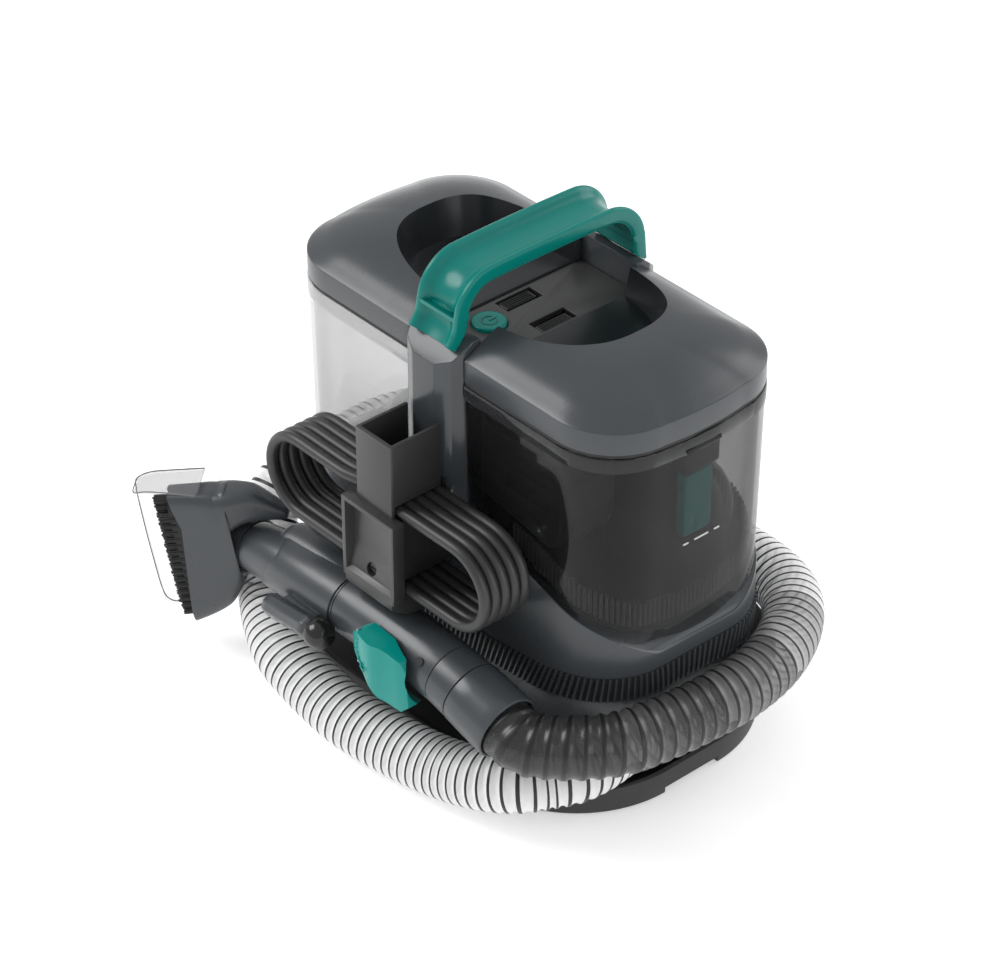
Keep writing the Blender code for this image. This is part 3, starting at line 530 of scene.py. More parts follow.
def cord_route():
    """From the strain relief round the bracket, one lane further forward each turn, to the plug."""
    middle, radius = (HANK_LOW + HANK_HIGH) / 2, (HANK_HIGH - HANK_LOW) / 2
    left, right = HANK_LEFT + radius, HANK_RIGHT - radius
    lanes = [HANK_BACK - CORD_DIAMETER * (k + 0.5) for k in range(CORD_TURNS)]
    route = [(-54.0, -87.4, HANK_HIGH)]
    for turn, lane in enumerate(lanes):
        if turn:
            before = lanes[turn - 1]
            route += [(x, before + (lane - before) * f, HANK_HIGH) for x, f in
                      ((5, 0.0), (-5, 0.06), (-20, 0.5), (-35, 0.94), (-45, 1.0), (-58, 1.0))]
        route += [(-68, lane, HANK_HIGH)]
        route += [(x, lane, z) for x, z in arc((left, middle), radius, 90, 270, 10)]
        route += [(x, lane, HANK_LOW) for x in (-50, -18, 14, 46)]
        route += [(x, lane, z) for x, z in arc((right, middle), radius, -90, 90, 10)]
        route += [(x, lane, HANK_HIGH) for x in (46, 24)]
    route[-1] = (21.0, lanes[-1], HANK_HIGH)
    return route


def build_cord():
    points = smooth_path(cord_route(), 4.0)
    curve = bpy.data.curves.new("mains_cord", "CURVE")
    curve.dimensions = "3D"
    curve.bevel_depth = (CORD_DIAMETER - 0.25) / 2 * MM
    curve.bevel_resolution = 6
    curve.use_fill_caps = True
    line = curve.splines.new("POLY")
    line.points.add(len(points) - 1)
    for target, point in zip(line.points, points):
        target.co = (*shift(point), 1)
    curve.materials.append(MATERIALS["cord"])
    obj = bpy.data.objects.new("mains_cord", curve)
    bpy.context.scene.collection.objects.link(obj)
    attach(obj, "machine")
    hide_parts("cord_hank")


# ---------------------------------------------------------------- base

def build_tray():
    size = (150.2, 105.3, 84.0)

    def ring(inset, height):
        return at_height(rounded(size[0] - inset, size[1] - inset, size[2] - inset, 28), height)

    rings = [ring(5.0, 3.0), ring(5.0, 0.8), ring(1.2, 0.8), ring(0.3, 1.2), ring(0.0, 2.2), ring(0.0, 16.6),
             ring(0.4, 17.6), ring(1.3, 18.0), ring(2.8, 18.0), ring(3.7, 17.5), ring(4.0, 16.5),
             ring(4.0, 6.0)]
    tray = piece("tray", loft_mesh(rings, "mirror"), "tray", None)
    cut(tray, solid(box_mesh((-160, -22.5, -1), (160, 22.5, 5.2)), "tray"),
        solid(box_mesh((-62, -110, -1), (62, 110, 5.2)), "tray"))
    join(tray, solid(box_mesh((-146, -24, 3), (146, 24, 5.9)), "tray"),
         solid(box_mesh((-64, -101, 3), (64, 101, 5.9)), "tray"))
    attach(tray, "machine")
    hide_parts("base_tray")


def build_housing():
    low = CORE_TOP + 0.3
    levels = smooth_profile(SKIRT, 3)
    rings = [at_height(rounded(a, b, r, 20, 40), z) for a, b, r, z in levels]
    shoulder = rounded(TANK_LENGTH - TANK_TAPER, TANK_DEPTH - TANK_TAPER, TANK_CORNER, 20, 40)
    for drop, inset in ((1.6, 0.0), (0.5, 0.3), (0.0, 1.3)):
        rings.append([(x * (1 - inset / 150), y * (1 - inset / 75),
                       max(seam_height(x * 1.01) - 0.3 - drop, 106))
                      for x, y in shoulder])
    housing = piece("base_shell", loft_mesh(rings, "mirror"), ("grey", "dark"), None)
    hollow = helper([at_height(rounded(147, 80, 56, 12, 20), low - 5),
                     at_height(rounded(147, 80, 56, 12, 20), 78),
                     at_height(rounded(145, 70, 40, 12, 20), lambda x: min(seam_height(x) - 8, 140))],
                     "dark", "mirror")
    motor = [(MOTOR_X + x, MOTOR_Y + y) for x, y in rounded(49, 37, 30, 12)]
    pump = [(PUMP_X + x, PUMP_Y + y) for x, y in rounded(27, 31, 16, 10)]
    cut(housing, hollow, solid(prism_mesh(motor, 60, 250), "dark"),
        solid(prism_mesh(pump, 60, 250), "dark"),
        solid(box_mesh((-21, -70, 60), (21, 70, 250)), "dark"),
        solid(turned_mesh((*VALVE, 60), (0, 0, 1), [(0, 9.5), (190, 9.5)]), "dark"))
    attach(housing, "machine")
    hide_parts("base_housing")
    build_skirt_ribs()


def walk(outline, pitch):
    """Evenly spaced (side, part along it, point, outward normal) round a closed anticlockwise outline."""
    closed = [Vector(p) for p in outline] + [Vector(outline[0])]
    found, target, walked = [], 0.0, 0.0
    for side, (p, q) in enumerate(zip(closed, closed[1:])):
        step = (q - p).length
        while step > 1e-9 and walked + step >= target:
            ahead = (q - p) / step
            part = (target - walked) / step
            found.append((side, part, p + ahead * (target - walked), Vector((ahead.y, -ahead.x))))
            target += pitch
        walked += step
    return found


def add_rib(bm, low, high, normal, width, out, inward):
    """A slim rounded bar between two points of a wall, standing out along the wall's normal."""
    along = Vector((-normal.y, normal.x, 0.0))
    face = Vector((normal.x, normal.y, 0.0))
    profile = ((-0.5, -inward), (-0.5, out * 0.4), (-0.28, out), (0.28, out), (0.5, out * 0.4),
               (0.5, -inward))
    rings = [[end + along * u * width + face * v for u, v in profile] for end in (low, high)]
    loft_mesh(rings, "face", bm)


# Half sizes and corner radius of the skirt wall at each height
SKIRT = ((147.5, 83.0, 62.0, 60.5), (148.2, 82.9, 60.0, 70.0), (148.7, 82.2, 57.5, 79.0),
         (149.2, 80.6, 54.0, 91.0),
         (149.6, 78.5, 50.0, 104.0))
SKIRT_RIB_PITCH = 4.1


def skirt_outline(height):
    for low, high in zip(SKIRT, SKIRT[1:]):
        if height <= high[3]:
            break
    part = (height - low[3]) / (high[3] - low[3])
    return rounded(*[a + (b - a) * part for a, b in zip(low[:3], high[:3])], 20, 40)


def build_skirt_ribs():
    """The row of upright ribs in the skirt, higher round the right end, over a dark strip that is painted shade in
    the recess behind them.
    """
    bm, strip, last = bmesh.new(), bmesh.new(), None
    for side, part, place, normal in walk(skirt_outline(85.0), SKIRT_RIB_PITCH):
        out = normal.to_3d()
        if abs(out.y) > 0.75:   # a long side, where the ribs climb to the right
            rise = min(max((place.x - 50) / 60, 0.0), 1.0)
        else:
            rise = 1.0 if place.x > 0 else 0.5
        ends = []
        for height in (78.5 + 6.0 * rise, 95.0 + 7.5 * rise):
            ring = skirt_outline(height)
            p = Vector(ring[side]).lerp(Vector(ring[(side + 1) % len(ring)]), part)
            ends.append(Vector((p.x, p.y, height)))
        add_rib(bm, ends[0], ends[1], out, 2.1, 1.5, 0.8)
        # The strip behind the ribs is painted shade for the recessed band.
        edge = [strip.verts.new(p + out * d) for p, d in
                ((ends[0], 0.35), (ends[1], 0.35), (ends[1], -1.0), (ends[0], -1.0))]
        if last:
            bridge(strip, last, edge)
        last = edge
    piece("skirt_ribs", bm, "grey", "machine", sharp=50)
    piece("skirt_shade_strip", strip, "seam", "machine")


# ---------------------------------------------------------------- column, deck and handle

def column_outline(inset=0.0, front=86.0):
    return mirrored([(-COLUMN_HALF + inset, -73 + inset), (-20 + inset * 0.8, -81 + inset),
                     (-9.5, -front + inset), (9.5, -front + inset), (20 - inset * 0.8, -81 + inset),
                     (COLUMN_HALF - inset, -73 + inset)])


def build_column():
    low = 170.4
    column = piece("column_shell", prism_mesh(column_outline(), low, 289), ("column", "dark", "grey"), None,
                   sharp=20)
    slope = [(62, 294), (76, 283), (92, 268), (92, 300), (62, 300)]
    cut(column, solid(prism_mesh(column_outline(WALL), low - 5, 255), "dark"),
        solid(box_mesh((-30, -62, 266), (30, 62, 300)), "grey"),
        solid(box_mesh((-21, -60, 240), (21, 60, 300)), "dark"),
        solid(prism_mesh([(-y, z) for y, z in slope], -30, 30, "yz"), "grey"),
        solid(prism_mesh(slope, -30, 30, "yz"), "grey"),
        solid(box_mesh((-26, -90, 160), (26, -82.3, 194.5)), "grey"))
    add_bevel(column, 0.5, 2, 18)
    bake(column, 14)
    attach(column, "machine")
    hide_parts("centre_column")


def build_deck():
    deck = piece("deck_plate", box_mesh((-24.2, -61.5, 266.3), (24.2, 61.5, 270.0)), ("deck", "dark"), None)
    cut(deck, solid(turned_mesh((*BUTTON, 260), (0, 0, 1), [(0, 11.3), (20, 11.3)], 48), "dark"),
        solid(box_mesh((-21.5, -11, 260), (-9, 17, 280)), "dark"),
        solid(box_mesh((9, -11, 260), (21.5, 17, 280)), "dark"))
    add_bevel(deck, 0.5, 2)
    bake(deck)
    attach(deck, "machine")
    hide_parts("top_deck")
    for name, body, node, low, high in (
            ("catch_clean", "clean_catch", "clean_tank_catch", (-21, -9, 259), (-12.5, 15, 268.4)),
            ("catch_recovery", "dirty_catch", "dirty_tank_catch", (12.5, -9, 259), (21, 15, 268.4))):
        bm = box_mesh(low, high)
        for i in range(4):
            x = low[0] + 1.4 + i * (high[0] - low[0] - 2.8) / 3
            box_mesh((x - 0.4, low[1] + 1.5, high[2] - 0.2), (x + 0.4, high[1] - 1.5, high[2] + 0.7), bm)
        piece(name, bm, "dark", body, (node,), bevel=0.3, segments=2)
    build_button()


def build_button():
    profile = [(0, 10.0), (0.6, 10.7), (1.2, 10.9), (9.2, 10.9), (9.8, 10.4), (10.0, 9.4), (9.7, 4.0),
               (9.6, 0.4)]
    cap = turned_mesh((*BUTTON, 262), (0, 0, 1), profile, 48)
    piece("button_cap", cap, "teal", "button", ("power_button",), 50)
    x, y = BUTTON
    low, high = 271.4, 272.05
    bm = bmesh.new()
    for i in range(24):
        ends = (math.radians(120 + 300 * k / 24) for k in (i, i + 1))
        loft_mesh([[(x + r * math.cos(t), y + r * math.sin(t), z) for r, z in
                    ((4.2, low), (4.2, high), (5.2, high), (5.2, low))] for t in ends], "face", bm)
    box_mesh((x - 0.5, y, low), (x + 0.5, y + 5.4, high), bm)
    piece("button_icon", bm, "mark_teal", "button", sharp=30)


def build_handle():
    half = [(-78.0, 284.2), (-72.6, 291.5), (-70.6, 299.0), (-70.0, 304.0)]
    top = HANDLE_TOP - 5.6
    front = half + arc((-46.0, top - 24), 24.0, 180, 90, 8) + [(-30.0, top + 0.4), (-15.0, top + 0.6)]
    back = [(70.0, 304.0), (70.6, 299.0), (71.2, 291.5), (72.0, 284.2)]
    path = smooth_profile(front + [(-y, z) for y, z in reversed(front[4:])] + back, 4)
    edge = HANDLE_HALF
    section = [(-edge, -2.0), (-edge - 0.1, 3.6), (-edge + 0.7, 5.0), (-edge + 2.6, 5.1), (-edge + 4.4, 4.0),
               (-10.5, 0.4), (-5, -1.2), (5, -1.2), (10.5, 0.4), (edge - 4.4, 4.0), (edge - 2.6, 5.1),
               (edge - 0.7, 5.0), (edge + 0.1, 3.6), (edge, -2.0), (edge - 1.2, -4.4), (edge - 4, -5.0),
               (-edge + 4, -5.0), (-edge + 1.2, -4.4)]
    fine = smooth_profile(section, 4, closed=True)
    rings = []
    for i, point in enumerate(path):
        ahead = (path[min(i + 1, len(path) - 1)] - path[max(i - 1, 0)]).normalized()
        normal = Vector((-ahead.y, ahead.x))
        rings.append([(x, point.x + normal.x * h, point.y + normal.y * h) for x, h in fine])
    handle = piece("carry_strap", loft_mesh(rings), "teal", None, sharp=60)
    away = [(-60, 296.2), (-76, 283.4), (-95, 266.5), (-95, 255), (95, 255), (95, 266.5), (76, 283.4),
            (60, 296.2)]
    cut(handle, solid(prism_mesh(away, -30, 30, "yz"), "teal"))
    bake(handle, 55)
    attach(handle, "machine")
    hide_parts("carry_handle")


# ---------------------------------------------------------------- tanks and lids

def dome_rings(x, y, half_x, half_y, radius, low, high, grow=0.0):
    base = low if callable(low) else lambda place: low
    shape = smooth_profile([(0.0, 1.0), (0.55, 0.985), (0.75, 0.93), (0.88, 0.82), (0.96, 0.62),
                            (1.0, 0.34)], 3)
    rings = []
    for height, scale in shape:
        outline = rounded((half_x + grow) * scale, (half_y + grow) * scale, (radius + grow) * scale, 12)
        rings.append([(x + px, y + py, base(x + px) + (high + grow - base(x + px)) * height) for px,
                      py in outline])
    return rings


MOTOR_DOME = (MOTOR_X, MOTOR_Y, 48.5, 36.5, 29.5)
PUMP_DOME = (PUMP_X, PUMP_Y, 26.5, 30.5, 15.5)


def build_tank(name, side, finish, node, body, dome, high):
    rings = [at_height(tank_outline(TANK_TAPER + WALL), lambda x: seam_height(x) + WALL, side),
             at_height(tank_outline(WALL), 262, side), at_height(tank_outline(0), 262, side),
             at_height(tank_outline(TANK_TAPER), seam_height, side)]
    tank = piece(name, loft_mesh(rings, "mirror"), finish, None)
    join(tank, helper(dome_rings(*dome, lambda x: seam_height(x) + 0.5, high, 3.0), finish, "mirror"))
    cut(tank, helper(dome_rings(*dome, 90, high, 0.6), finish, "mirror"))
    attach(tank, body)
    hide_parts(node)
    bm = loft_mesh([at_height(tank_outline(0.2), 251.5, side), at_height(tank_outline(-0.35), 252.2, side),
                    at_height(tank_outline(-0.35), 261.2, side), at_height(tank_outline(0.0), 261.9, side),
                    at_height(tank_outline(WALL), 261.9, side), at_height(tank_outline(WALL), 251.5, side)],
                    None)
    piece(f"{name}_rim", bm, "rim_smoke" if side > 0 else "rim_clear", body, sharp=40)


def build_covers():
    for name, dome, high in (("motor_dome", MOTOR_DOME, 196), ("pump_dome", PUMP_DOME, 186)):
        cover = piece(name, loft_mesh(dome_rings(*dome, 96, high), "mirror"), "inner", None)
        cut(cover, helper(dome_rings(*dome, 90, high, -2.5), "inner", "mirror"))
        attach(cover, "machine")
        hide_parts(name.replace("dome", "cover"))


def build_filter_band():
    """The dark pleated band low inside the recovery tank."""
    bm = bmesh.new()
    outline = [p for p in tank_outline(6.5) if p[0] > 60]
    pleats = walk(outline + [(60, outline[-1][1]), (60, outline[0][1])], 3.4)
    for _, _, place, normal in pleats:
        if place.x < 62:
            continue
        base = seam_height(place.x) + WALL + 0.8
        foot = Vector((place.x, place.y, base))
        add_rib(bm, foot, foot + Vector((0, 0, 17)), normal, 1.9, 0.9, 1.4)
    piece("pleated_band", bm, "pleat", "recovery_tank", sharp=50)


def build_marks():
    """A plain level mark of dashes, and the notch under the lid as a dark box of painted shade."""
    bm = bmesh.new()
    for low, high in ((-16.0, -12.0), (-7.0, 4.0), (9.0, 13.0)):
        box_mesh((TANK_LENGTH - 1.2, low, 186.9), (TANK_LENGTH - 0.45, high, 187.6), bm)
    piece("level_mark", bm, "mark", "recovery_tank")
    # The latch notch is a dark box standing in for the notch's shade: painted shade.
    box = box_mesh((TANK_LENGTH - 1.0, -16, 252.4), (TANK_LENGTH + 0.5, 11, 255.0))
    piece("latch_notch_shade", box, "seam", "recovery_tank", bevel=0.2, segments=1)


def lid_outline(inset, grow):
    outline = tank_outline(grow)
    edge = min(x for x, _ in outline)
    target = COLUMN_HALF + 0.6 + inset
    return [(target if x == edge else x, y) for x, y in outline]


def scoop_outline(reach, half_y, grow=0.0):
    """A D-shaped finger scoop, open towards the column and a little nearer the back."""
    front = [(0, -half_y - grow)]
    for i in range(1, 36):
        angle = math.radians(2.5 * i)
        front.append(((reach + grow) * math.sin(angle) ** SCOOP_POWER,
                      -(half_y + grow) * math.cos(angle) ** SCOOP_POWER))
    return [(x, y + SCOOP_BACK) for x, y in mirrored(front)]


def build_lid(name, side, reach, half_y, node, body):
    def rings(inset, steps):
        shape = [(0.0, LID_BOTTOM - inset * 2), (0.0, 278.7), (0.7, 279.7), (6.0, 283.0), (14.0, 287.6),
                 (26.0, 292.4), (38.0, 295.6), (50.0, LID_TOP)]
        fine = shape[:1] + smooth_profile(shape[1:], steps)
        return [at_height(lid_outline(inset, grow + inset), z - (inset if z > 278 else 0), side) for grow,
                z in fine]

    lid = piece(name, loft_mesh(rings(0.0, 4), "mirror"), ("grey", "scoop"), None)
    hollow = helper(rings(WALL, 1), "grey", "mirror")
    pan = helper([at_height(scoop_outline(reach - 7, half_y - 7, WALL), 270.4 - WALL, side),
                  at_height(scoop_outline(reach, half_y, WALL), 305, side)], "grey", "mirror")
    cut(hollow, pan)
    # The scoop's walls and floor take the scoop finish, painted shade in the recess.
    scoop = helper([at_height(scoop_outline(reach - 7, half_y - 7), 271.2, side),
                    at_height(scoop_outline(reach + 1, half_y + 1), 306, side)], "scoop", "mirror")
    cut(lid, hollow, scoop)
    add_bevel(lid, 1.3, 5, 45)
    bake(lid, 26)
    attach(lid, body)
    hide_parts(node)


# ---------------------------------------------------------------- cord bracket

def build_bracket():
    front = HANK_BACK - CORD_DIAMETER * CORD_TURNS
    bracket = piece("cord_holder", box_mesh((-24, front - 9, 126), (24, front - 0.4, 184)), "bracket", None)
    foot = [(front - 9, 130), (front - 9, 122), (front + 2, 114), (-86.2, 108), (-86.2, 118),
            (front + 4, 126.5),
            (front + 4, 128.5), (front - 2, 128.5)]
    join(bracket, solid(box_mesh((-20, front - 2, 138), (20, -82.7, 182)), "bracket"),
         solid(box_mesh((-16, front - 3, 180), (16, front - 0.4, 235)), "bracket"),
         solid(box_mesh((-16, front - 1, 191.4), (-13.8, -86.4, 235)), "bracket"),
         solid(box_mesh((13.8, front - 1, 191.4), (16, -86.4, 235)), "bracket"),
         solid(prism_mesh(foot, -22, 22, "yz"), "bracket"))
    pocket = [(front - 12, 181), (front - 12, 129), (front - 6, 133), (front - 1.5, 150), (front - 1.5, 181)]
    cut(bracket, solid(prism_mesh(pocket, -21, 21, "yz"), "bracket"),
        solid(turned_mesh((-2, front - 14, 138), (0, 1, 0), [(0, 4.3), (22, 4.3)]), "dark"))
    add_bevel(bracket, 0.7, 2, 35)
    bake(bracket, 45)
    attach(bracket, "machine")
    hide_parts("cord_bracket")


# ---------------------------------------------------------------- wand and tool

def wand_point(x):
    drop = 0.00145 if x > 20 else 0.00047
    return Vector((x, WAND_Y, WAND_TOP - drop * (x - 20) ** 2))


def wand_ring(x, radius):
    return circle_ring(wand_point(x), wand_point(x + 1) - wand_point(x - 1), radius, 48)


def wand_tube(name, stations, finish, bore, body, node):
    """A tube along the wand; stations are (x, outer radius), eased at both ends."""
    fine = smooth_profile(stations, 4)
    (first, r0), (last, r1) = fine[0], fine[-1]
    outer = [wand_ring(first, r0 - 0.9), wand_ring(first + 0.25, r0 - 0.3)]
    outer += [wand_ring(x, r) for x, r in fine[1:-1]]
    outer += [wand_ring(last - 0.25, r1 - 0.3), wand_ring(last, r1 - 0.9)]
    inner = [wand_ring(last, bore), wand_ring(first, bore)]
    return piece(name, loft_mesh(outer + inner, None), finish, body, node, sharp=40)


def build_wand():
    wand_tube("wand_neck_tube", [(-126, 16.8), (-118, 17.6), (-108, 18.3), (-92, 19.4), (-60, 20.1),
                                 (-29.5, WAND_RADIUS)], "grey", 14.5, "machine", ("wand_neck",))
    wand_tube("wand_grip_tube", [(-29.2, WAND_RADIUS), (0, 20.3), (32, 20.4), (60.5, 20.6)], "grey", 15.5,
              "machine",
              ("wand_grip",))
    start, end = wand_point(78.2), wand_point(112)
    along = end - start
    lip = [circle_ring(start - along * t, along, r, 48) for t,
           r in ((0.016, 21.15), (0.012, 20.9), (0.012, 15.5))]
    tail = [wand_ring(x, r) for x, r in ((60.8, 15.5), (60.8, 19.9), (61.1, 20.5), (69, 20.9))]
    piece("wand_tail_tube", loft_mesh(tail + lip, None), "grey", "machine", ("wand_tail",), sharp=40)
    profile = ((0.0, 20.6), (0.01, 21.2), (0.03, 21.45), (0.35, 21.8), (0.75, 22.0), (0.97, 22.0),
               (0.99, 21.8),
               (1.0, 21.3), (1.0, 20.4), (0.985, 19.95), (0.72, 19.9), (0.72, 15.5), (0.0, 15.5))
    rings = [circle_ring(start + along * t, along, r, 48) for t, r in profile]
    piece("hose_cuff_shell", loft_mesh(rings, None), "grey", "cuff", ("hose_cuff",), sharp=50)
    build_neck_back()
    build_sleeve()
    build_valve()
    build_trigger()


def build_neck_back():
    """The neck's full back: a lobe that stands out up and behind, with the water line inside."""
    outward = Vector((0, 0.735, 0.678))
    stations = smooth_profile([(-104.0, 11.0, 13.0), (-101.0, 12.6, 14.6), (-92.0, 13.2, 15.0),
                               (-70.0, 12.2, 15.2),
                               (-45.0, 9.5, 15.4), (-31.0, 7.0, 15.0), (-29.5, 6.4, 14.0)], 4)
    rings = [circle_ring(wand_point(x) + outward * out, (1, 0, 0), r, 40) for x, out, r in stations]
    piece("neck_back", loft_mesh(rings), "grey", "machine", sharp=50, bevel=0.8, segments=2)


def build_sleeve():
    """A thin raised sleeve with a stepped edge round the upper side of the neck."""
    bm = bmesh.new()
    outer, inner = [], []
    steps = 26
    for i in range(steps + 1):
        angle = math.radians(-30 + 150 * i / steps)
        wave = 9.0 * math.sin(math.radians(180 * i / steps)) ** 2
        rows = []
        for x in (-100 + wave, -97 + wave, -60, -32):
            centre = wand_point(x)
            radius = 19.35 + (x + 100) * 0.0145 + (0.15 if x < -98 + wave else 0.75)
            rows.append((centre, radius, angle))
        outer.append([bm.verts.new(c + Vector((0, -math.cos(a) * r, math.sin(a) * r))) for c, r, a in rows])
        inner.append([bm.verts.new(c + Vector((0, -math.cos(a) * (r - 1.4), math.sin(a) * (r - 1.4))))
                      for c, r, a in rows])
    for i in range(steps):
        for k in range(3):
            bm.faces.new((outer[i][k], outer[i][k + 1], outer[i + 1][k + 1], outer[i + 1][k]))
            bm.faces.new((inner[i][k], inner[i + 1][k], inner[i + 1][k + 1], inner[i][k + 1]))
        for k in (0, 3):
            bm.faces.new((outer[i][k], outer[i + 1][k], inner[i + 1][k], inner[i][k]))
    for i in (0, steps):
        for k in range(3):
            bm.faces.new((outer[i][k], outer[i][k + 1], inner[i][k + 1], inner[i][k]))
    piece("neck_sleeve", bm, "grey", "machine", sharp=45)


def build_valve():
    valve = wand_point(-53) + Vector((0, -29.5, -8))
    ahead = Vector((0.99, 0, 0.09)).normalized()
    body = [(-27.0, 3.0), (-26.4, 5.6), (-24.5, 7.0), (-21.0, 7.6), (10.0, 7.6), (11.0, 8.0), (15.5, 8.0),
            (16.5, 7.4),
            (18.0, 7.2)]
    piece("valve_body", turned_mesh(valve, ahead, body, 8), "grey", "machine", ("spray_valve",), 30, 0.7, 2)
    bm = box_mesh((-71, WAND_Y - 28, 79), (-41, WAND_Y - 19.5, 86))
    piece("valve_bridge", bm, "grey", "machine", bevel=1.2)
    cap = [(18.4, 6.0), (18.8, 8.6), (20.5, 9.6), (24.5, 9.9), (28.5, 9.2), (31.6, 7.0), (33.0, 4.0),
           (33.2, 0.6)]
    piece("valve_knob", turned_mesh(valve, ahead, cap, 40), "gloss_dark", "machine", ("valve_cap",), 60)


def build_trigger():
    """A lever with a finger hollow in its face and small grip ridges beside the hinge."""
    front = [(3, 97), (4, 105), (10, 108.5), (30, 108.5), (46, 104), (49, 98), (50.5, 71), (46, 67), (30, 70),
             (22, 78), (14, 86), (5, 91)]
    plan = [(0, 6.0), (0, 27.0), (5, 29.2), (10, 31.0), (17, 33.0), (23, 34.0), (27, 33.4), (31, 31.4),
            (36, 29.6),
            (41, 28.8), (46, 27.6), (52, 24.5), (52, 6.0)]
    trigger = piece("trigger_lever", prism_mesh(front, WAND_Y - 36, WAND_Y - 5, "xz"), "trigger", None)
    combine(trigger, [solid(prism_mesh([(x, WAND_Y - y) for x, y in plan], 50, 130), "trigger")],
            "INTERSECT")
    clear = [circle_ring(wand_point(x), (1, 0, 0), r, 40) for x,
             r in ((-20, 23.0), (6, 23.0), (58, 27.0), (80, 27.0))]
    cut(trigger, helper(clear, "trigger"))
    add_bevel(trigger, 1.3, 4, 25)
    bake(trigger, 50)
    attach(trigger, "trigger")
    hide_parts("spray_trigger")
    bm = bmesh.new()
    for left, z in ((4.6, 104.0), (4.3, 100.8), (4.4, 97.6), (5.4, 94.4), (6.6, 91.6), (10.6, 89.2),
                    (14.2, 86.8)):
        start = Vector((left, WAND_Y - 27.2 - 0.38 * left, z))
        turned_mesh(start, (1, -0.38, -0.08), [(0, 0.25), (0.4, 0.65), (6.6, 0.65), (7.0, 0.25)], 12, bm)
    piece("trigger_ridges", bm, "trigger", "trigger", sharp=60)


def cross_axes(ahead):
    """The sideways and the upward direction of something that points ahead."""
    across = ahead.cross(Vector((0, 0, 1))).normalized()
    return across, across.cross(ahead).normalized()


def slab_ring(centre, ahead, thick, height, shift_side=0.0, shift_up=0.0, power=4.0, sides=72):
    across, tall = cross_axes(ahead)
    points = []
    for i in range(sides):
        angle = 2 * math.pi * (i + 0.5) / sides
        c, s = math.cos(angle), math.sin(angle)
        u = math.copysign(abs(c) ** (2 / power), c) * thick / 2 + shift_side
        v = math.copysign(abs(s) ** (2 / power), s) * height / 2 + shift_up
        points.append(centre + across * u + tall * v)
    return points


def smooth_rings(rings, steps):
    """More rings between the given ones, each point on its own smooth curve."""
    columns = [smooth_profile(column, steps) for column in zip(*rings)]
    return [list(ring) for ring in zip(*columns)]


def tool_section(distance, thick, height, side=0.0, up=0.0, power=5.0, sides=72):
    centre = wand_point(TOOL_START) + TOOL_HEADING * distance
    return slab_ring(centre, TOOL_HEADING, thick, height, side, up, power, sides)


def build_tool():
    joint = wand_point(TOOL_START)
    neck_ahead = Vector((-1, 0, -0.137)).normalized()
    turn_ahead = (neck_ahead + TOOL_HEADING).normalized()
    rings = [slab_ring(wand_point(-126.9), neck_ahead, 34.4, 34.4, power=2.0),
             slab_ring(wand_point(-131), neck_ahead, 35.2, 35.2, power=2.0),
             slab_ring(joint + Vector((-9, -3, -0.9)), turn_ahead, 36, 38, power=2.0)]
    flare = ((9, 32, 66, 11.0, 2.9), (15, 30.5, 77, 6.5, 3.6), (22, 28.5, 86, 2.5, 4.4),
             (34, 25.6, 93, -1.0, 4.8),
             (47.2, 23.2, 98.6, -3.6, 5.0), (48, 22.6, 98.0, -3.6, 5.0))
    rings += [tool_section(d, thick, height, 0.0, up, power) for d, thick, height, up, power in flare]
    body = piece("tool_nozzle", loft_mesh(smooth_rings(rings, 4)), ("grey", "dark"), None, sharp=40)
    near = [(62, -58), (50, -58), (41, 23), (47, 45), (47, 60), (62, 60)]
    near_wall = loft_mesh([[tool_place(d, side, up) for d, up in near] for side in (-22.0, 0.5)])
    cut(body, helper([tool_section(33, 17, 80, 0.0, -2.0), tool_section(52, 19.4, 94, 0.0, -3.6)], "dark"),
        solid(near_wall, "grey"))
    bake(body, 32)
    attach(body, "tool")
    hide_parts("tool_body")
    build_tool_fin()
    build_bristles()
    build_tool_cover()


def tool_place(distance, side, up):
    """A point of the tool: along its heading, sideways away from the wand's front, and up."""
    across, tall = cross_axes(TOOL_HEADING)
    return wand_point(TOOL_START) + TOOL_HEADING * distance + across * side + tall * up


def build_tool_fin():
    """The flat top of the nozzle runs back over the neck as a narrowing fin."""
    rings = [tool_section(d, thick, high - low, 0.0, (high + low) / 2, power) for d, thick, low, high,
             power in
             ((17, 29, 10, 44.8, 3.6), (10, 28, 16, 44.9, 3.6), (2, 24.5, 20.5, 44.8, 3.4),
              (-7, 19.5, 21, 43.6, 3.2),
              (-15, 15.5, 20.5, 38.0, 3.0), (-22, 12.5, 20, 31.5, 2.8), (-26, 10.5, 20.5, 28.0, 2.6),
              (-26.6, 8.5, 21.5, 27.0, 2.6))]
    piece("tool_fin", loft_mesh(smooth_rings(rings, 3)), "grey", "tool", sharp=45)


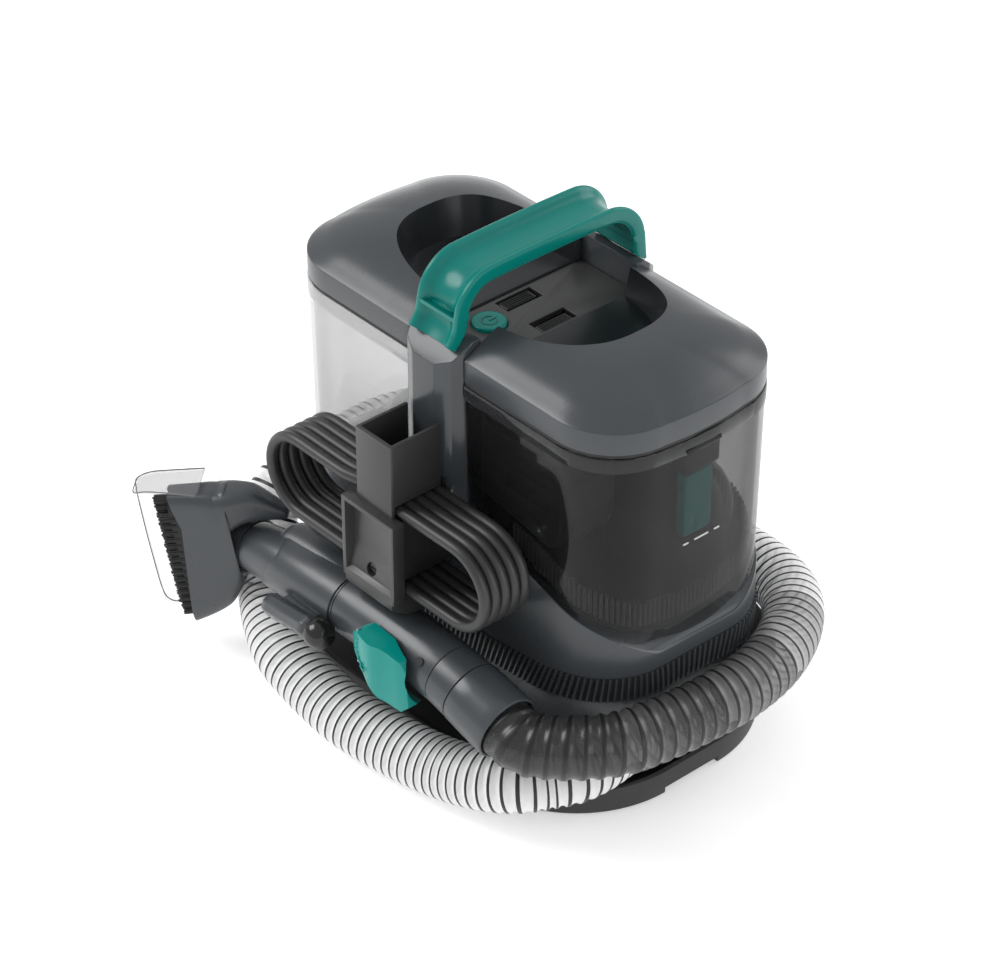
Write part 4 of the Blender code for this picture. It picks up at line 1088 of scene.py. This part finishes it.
def build_tool_cover():
    """A clear hood behind the bristles: a side wall, a top wall and their moulded edges."""
    cover = ((14, 50, 18.6, 3.0), (20, 80, 17.8, 4.4), (30, 95, 16.2, 2.2), (48, 101, 13.8, 0.6),
             (60, 102, 13.4, 0.0),
             (68, 99, 12.4, -0.5), (72, 94, 11.4, -1.0))
    walls = [tool_section(d, 1.8, height, side, up, 8.0, 96) for d, height, side, up in cover]
    piece("tool_cover", loft_mesh(smooth_rings(walls, 3)), "window", "tool", ("tool_window",), sharp=60)
    top = [(26, -12.5, 17.0, 47.6), (48, -10.5, 14.0, 49.6), (60, -8.5, 13.5, 49.6), (68, -6.0, 12.5, 48.2)]
    roof = [[tool_place(d, side, up + lift) for side, lift in ((near, 0), (far, 0), (far, 1.4), (near, 1.4))]
            for d, near, far, up in top]
    piece("tool_cover_top", loft_mesh(roof), "window", "tool", sharp=30, bevel=0.3, segments=2)
    rim = [(26, 17.0, 49), (48, 14.0, 51.2), (60, 13.5, 51.2), (68, 12.6, 49), (71.6, 11.8, 44),
           (72.6, 11.4, 20),
           (72.8, 11.4, -10), (72.0, 11.4, -40), (68, 12.4, -49), (60, 13.4, -50.6), (48, 14.0, -49.6)]
    near = [(27, -12.5, 48.6), (48, -10.5, 51.0), (60, -8.5, 51.0), (68, -6.0, 49.4), (69, 4.0, 49.4),
            (68.6, 12.0, 49.2)]
    bm = bmesh.new()
    for loop in (rim, near):
        points = smooth_path([tool_place(*p) for p in loop], 2.0)
        rings = [circle_ring(p, points[min(i + 1, len(points) - 1)] - points[max(i - 1, 0)], 0.42, 8)
                 for i, p in enumerate(points)]
        loft_mesh(rings, "face", bm)
    piece("tool_cover_edge", bm, "window_edge", "tool", sharp=60)


def build_bristles():
    """Two rows of thick tufts on a strip inside the nozzle's mouth."""
    bm = bmesh.new()
    across, tall = cross_axes(TOOL_HEADING)
    loft_mesh([tool_section(d, 12.5, h, 0.0, -3.0, 6.0, 32) for d, h in ((35, 74), (49, 82))], "face", bm)
    tufts = 15
    for row, reach, low in ((-3.7, 9.5, -45.0), (3.7, 13.5, -41.5)):
        for t in range(tufts):
            v = low + (72.0 if row < 0 else 78.0) * t / (tufts - 1)
            root = tool_place(46, row, v)
            for h in range(19):
                ring, turn = (0.0, 0.0) if h == 0 else ((1.15, h * 60.0) if h < 7 else (2.15, h * 30.0))
                u, w = ring * math.cos(math.radians(turn)), ring * math.sin(math.radians(turn))
                length = reach + 0.5 * math.sin(h * 2.3 + t * 1.7 + row)
                lean = Vector((u, w)) * 0.22 + Vector((row * 0.12, 0.5 * math.sin(t * 2.1)))
                start = root + across * u + tall * w
                end = start + TOOL_HEADING * length + across * lean.x + tall * lean.y
                along = end - start
                loft_mesh([circle_ring(start, along, 0.8, 6),
                           circle_ring(start + along * 0.9, along, 0.72, 6),
                           circle_ring(end, along, 0.45, 6)], "face", bm)
    piece("tool_bristles", bm, "bristle", "tool", ("tool_brush",), sharp=60)


# ---------------------------------------------------------------- what stays from the CAD model

KEPT = {
    "dark": ["base_core", "hose_shelf", "water_pump", "power_switch", "hose_port", "power_plug",
             "bracket_screw",
             "wand_screw"],
    "inner": ["motor_fan", "fan_plate", "inlet_baffle", "float_guide"],
    "rubber": ["foot_front_left", "foot_front_right", "foot_back_left", "foot_back_right", "tank_valve",
               "clean_tank_seal", "dirty_tank_seal", "cord_strain_relief"],
    "teal": ["float"],
    "steel": ["vacuum_motor", "motor_shaft", "trigger_pin"],
    "board": ["control_board"],
}


def finish_kept_nodes():
    for key, names in KEPT.items():
        for name in names:
            slots = NODES[name].material_slots
            if slots:
                slots[0].material = MATERIALS[key]
            else:
                NODES[name].data.materials.append(MATERIALS[key])


build_camera()
build_floor()
build_lights()
build_hose()
build_cord()
build_tray()
build_housing()
build_column()
build_deck()
build_handle()
build_tank("tank_clear", -1, "clear", "clean_tank", "clean_tank", PUMP_DOME, 186)
build_tank("tank_smoked", 1, "smoke", "dirty_tank", "recovery_tank", MOTOR_DOME, 196)
build_covers()
build_filter_band()
build_marks()
build_lid("lid_clean", -1, 102, 58, "clean_tank_lid", "clean_lid")
build_lid("lid_recovery", 1, 89, 56, "dirty_tank_lid", "recovery_lid")
build_bracket()
build_wand()
build_tool()
finish_kept_nodes()
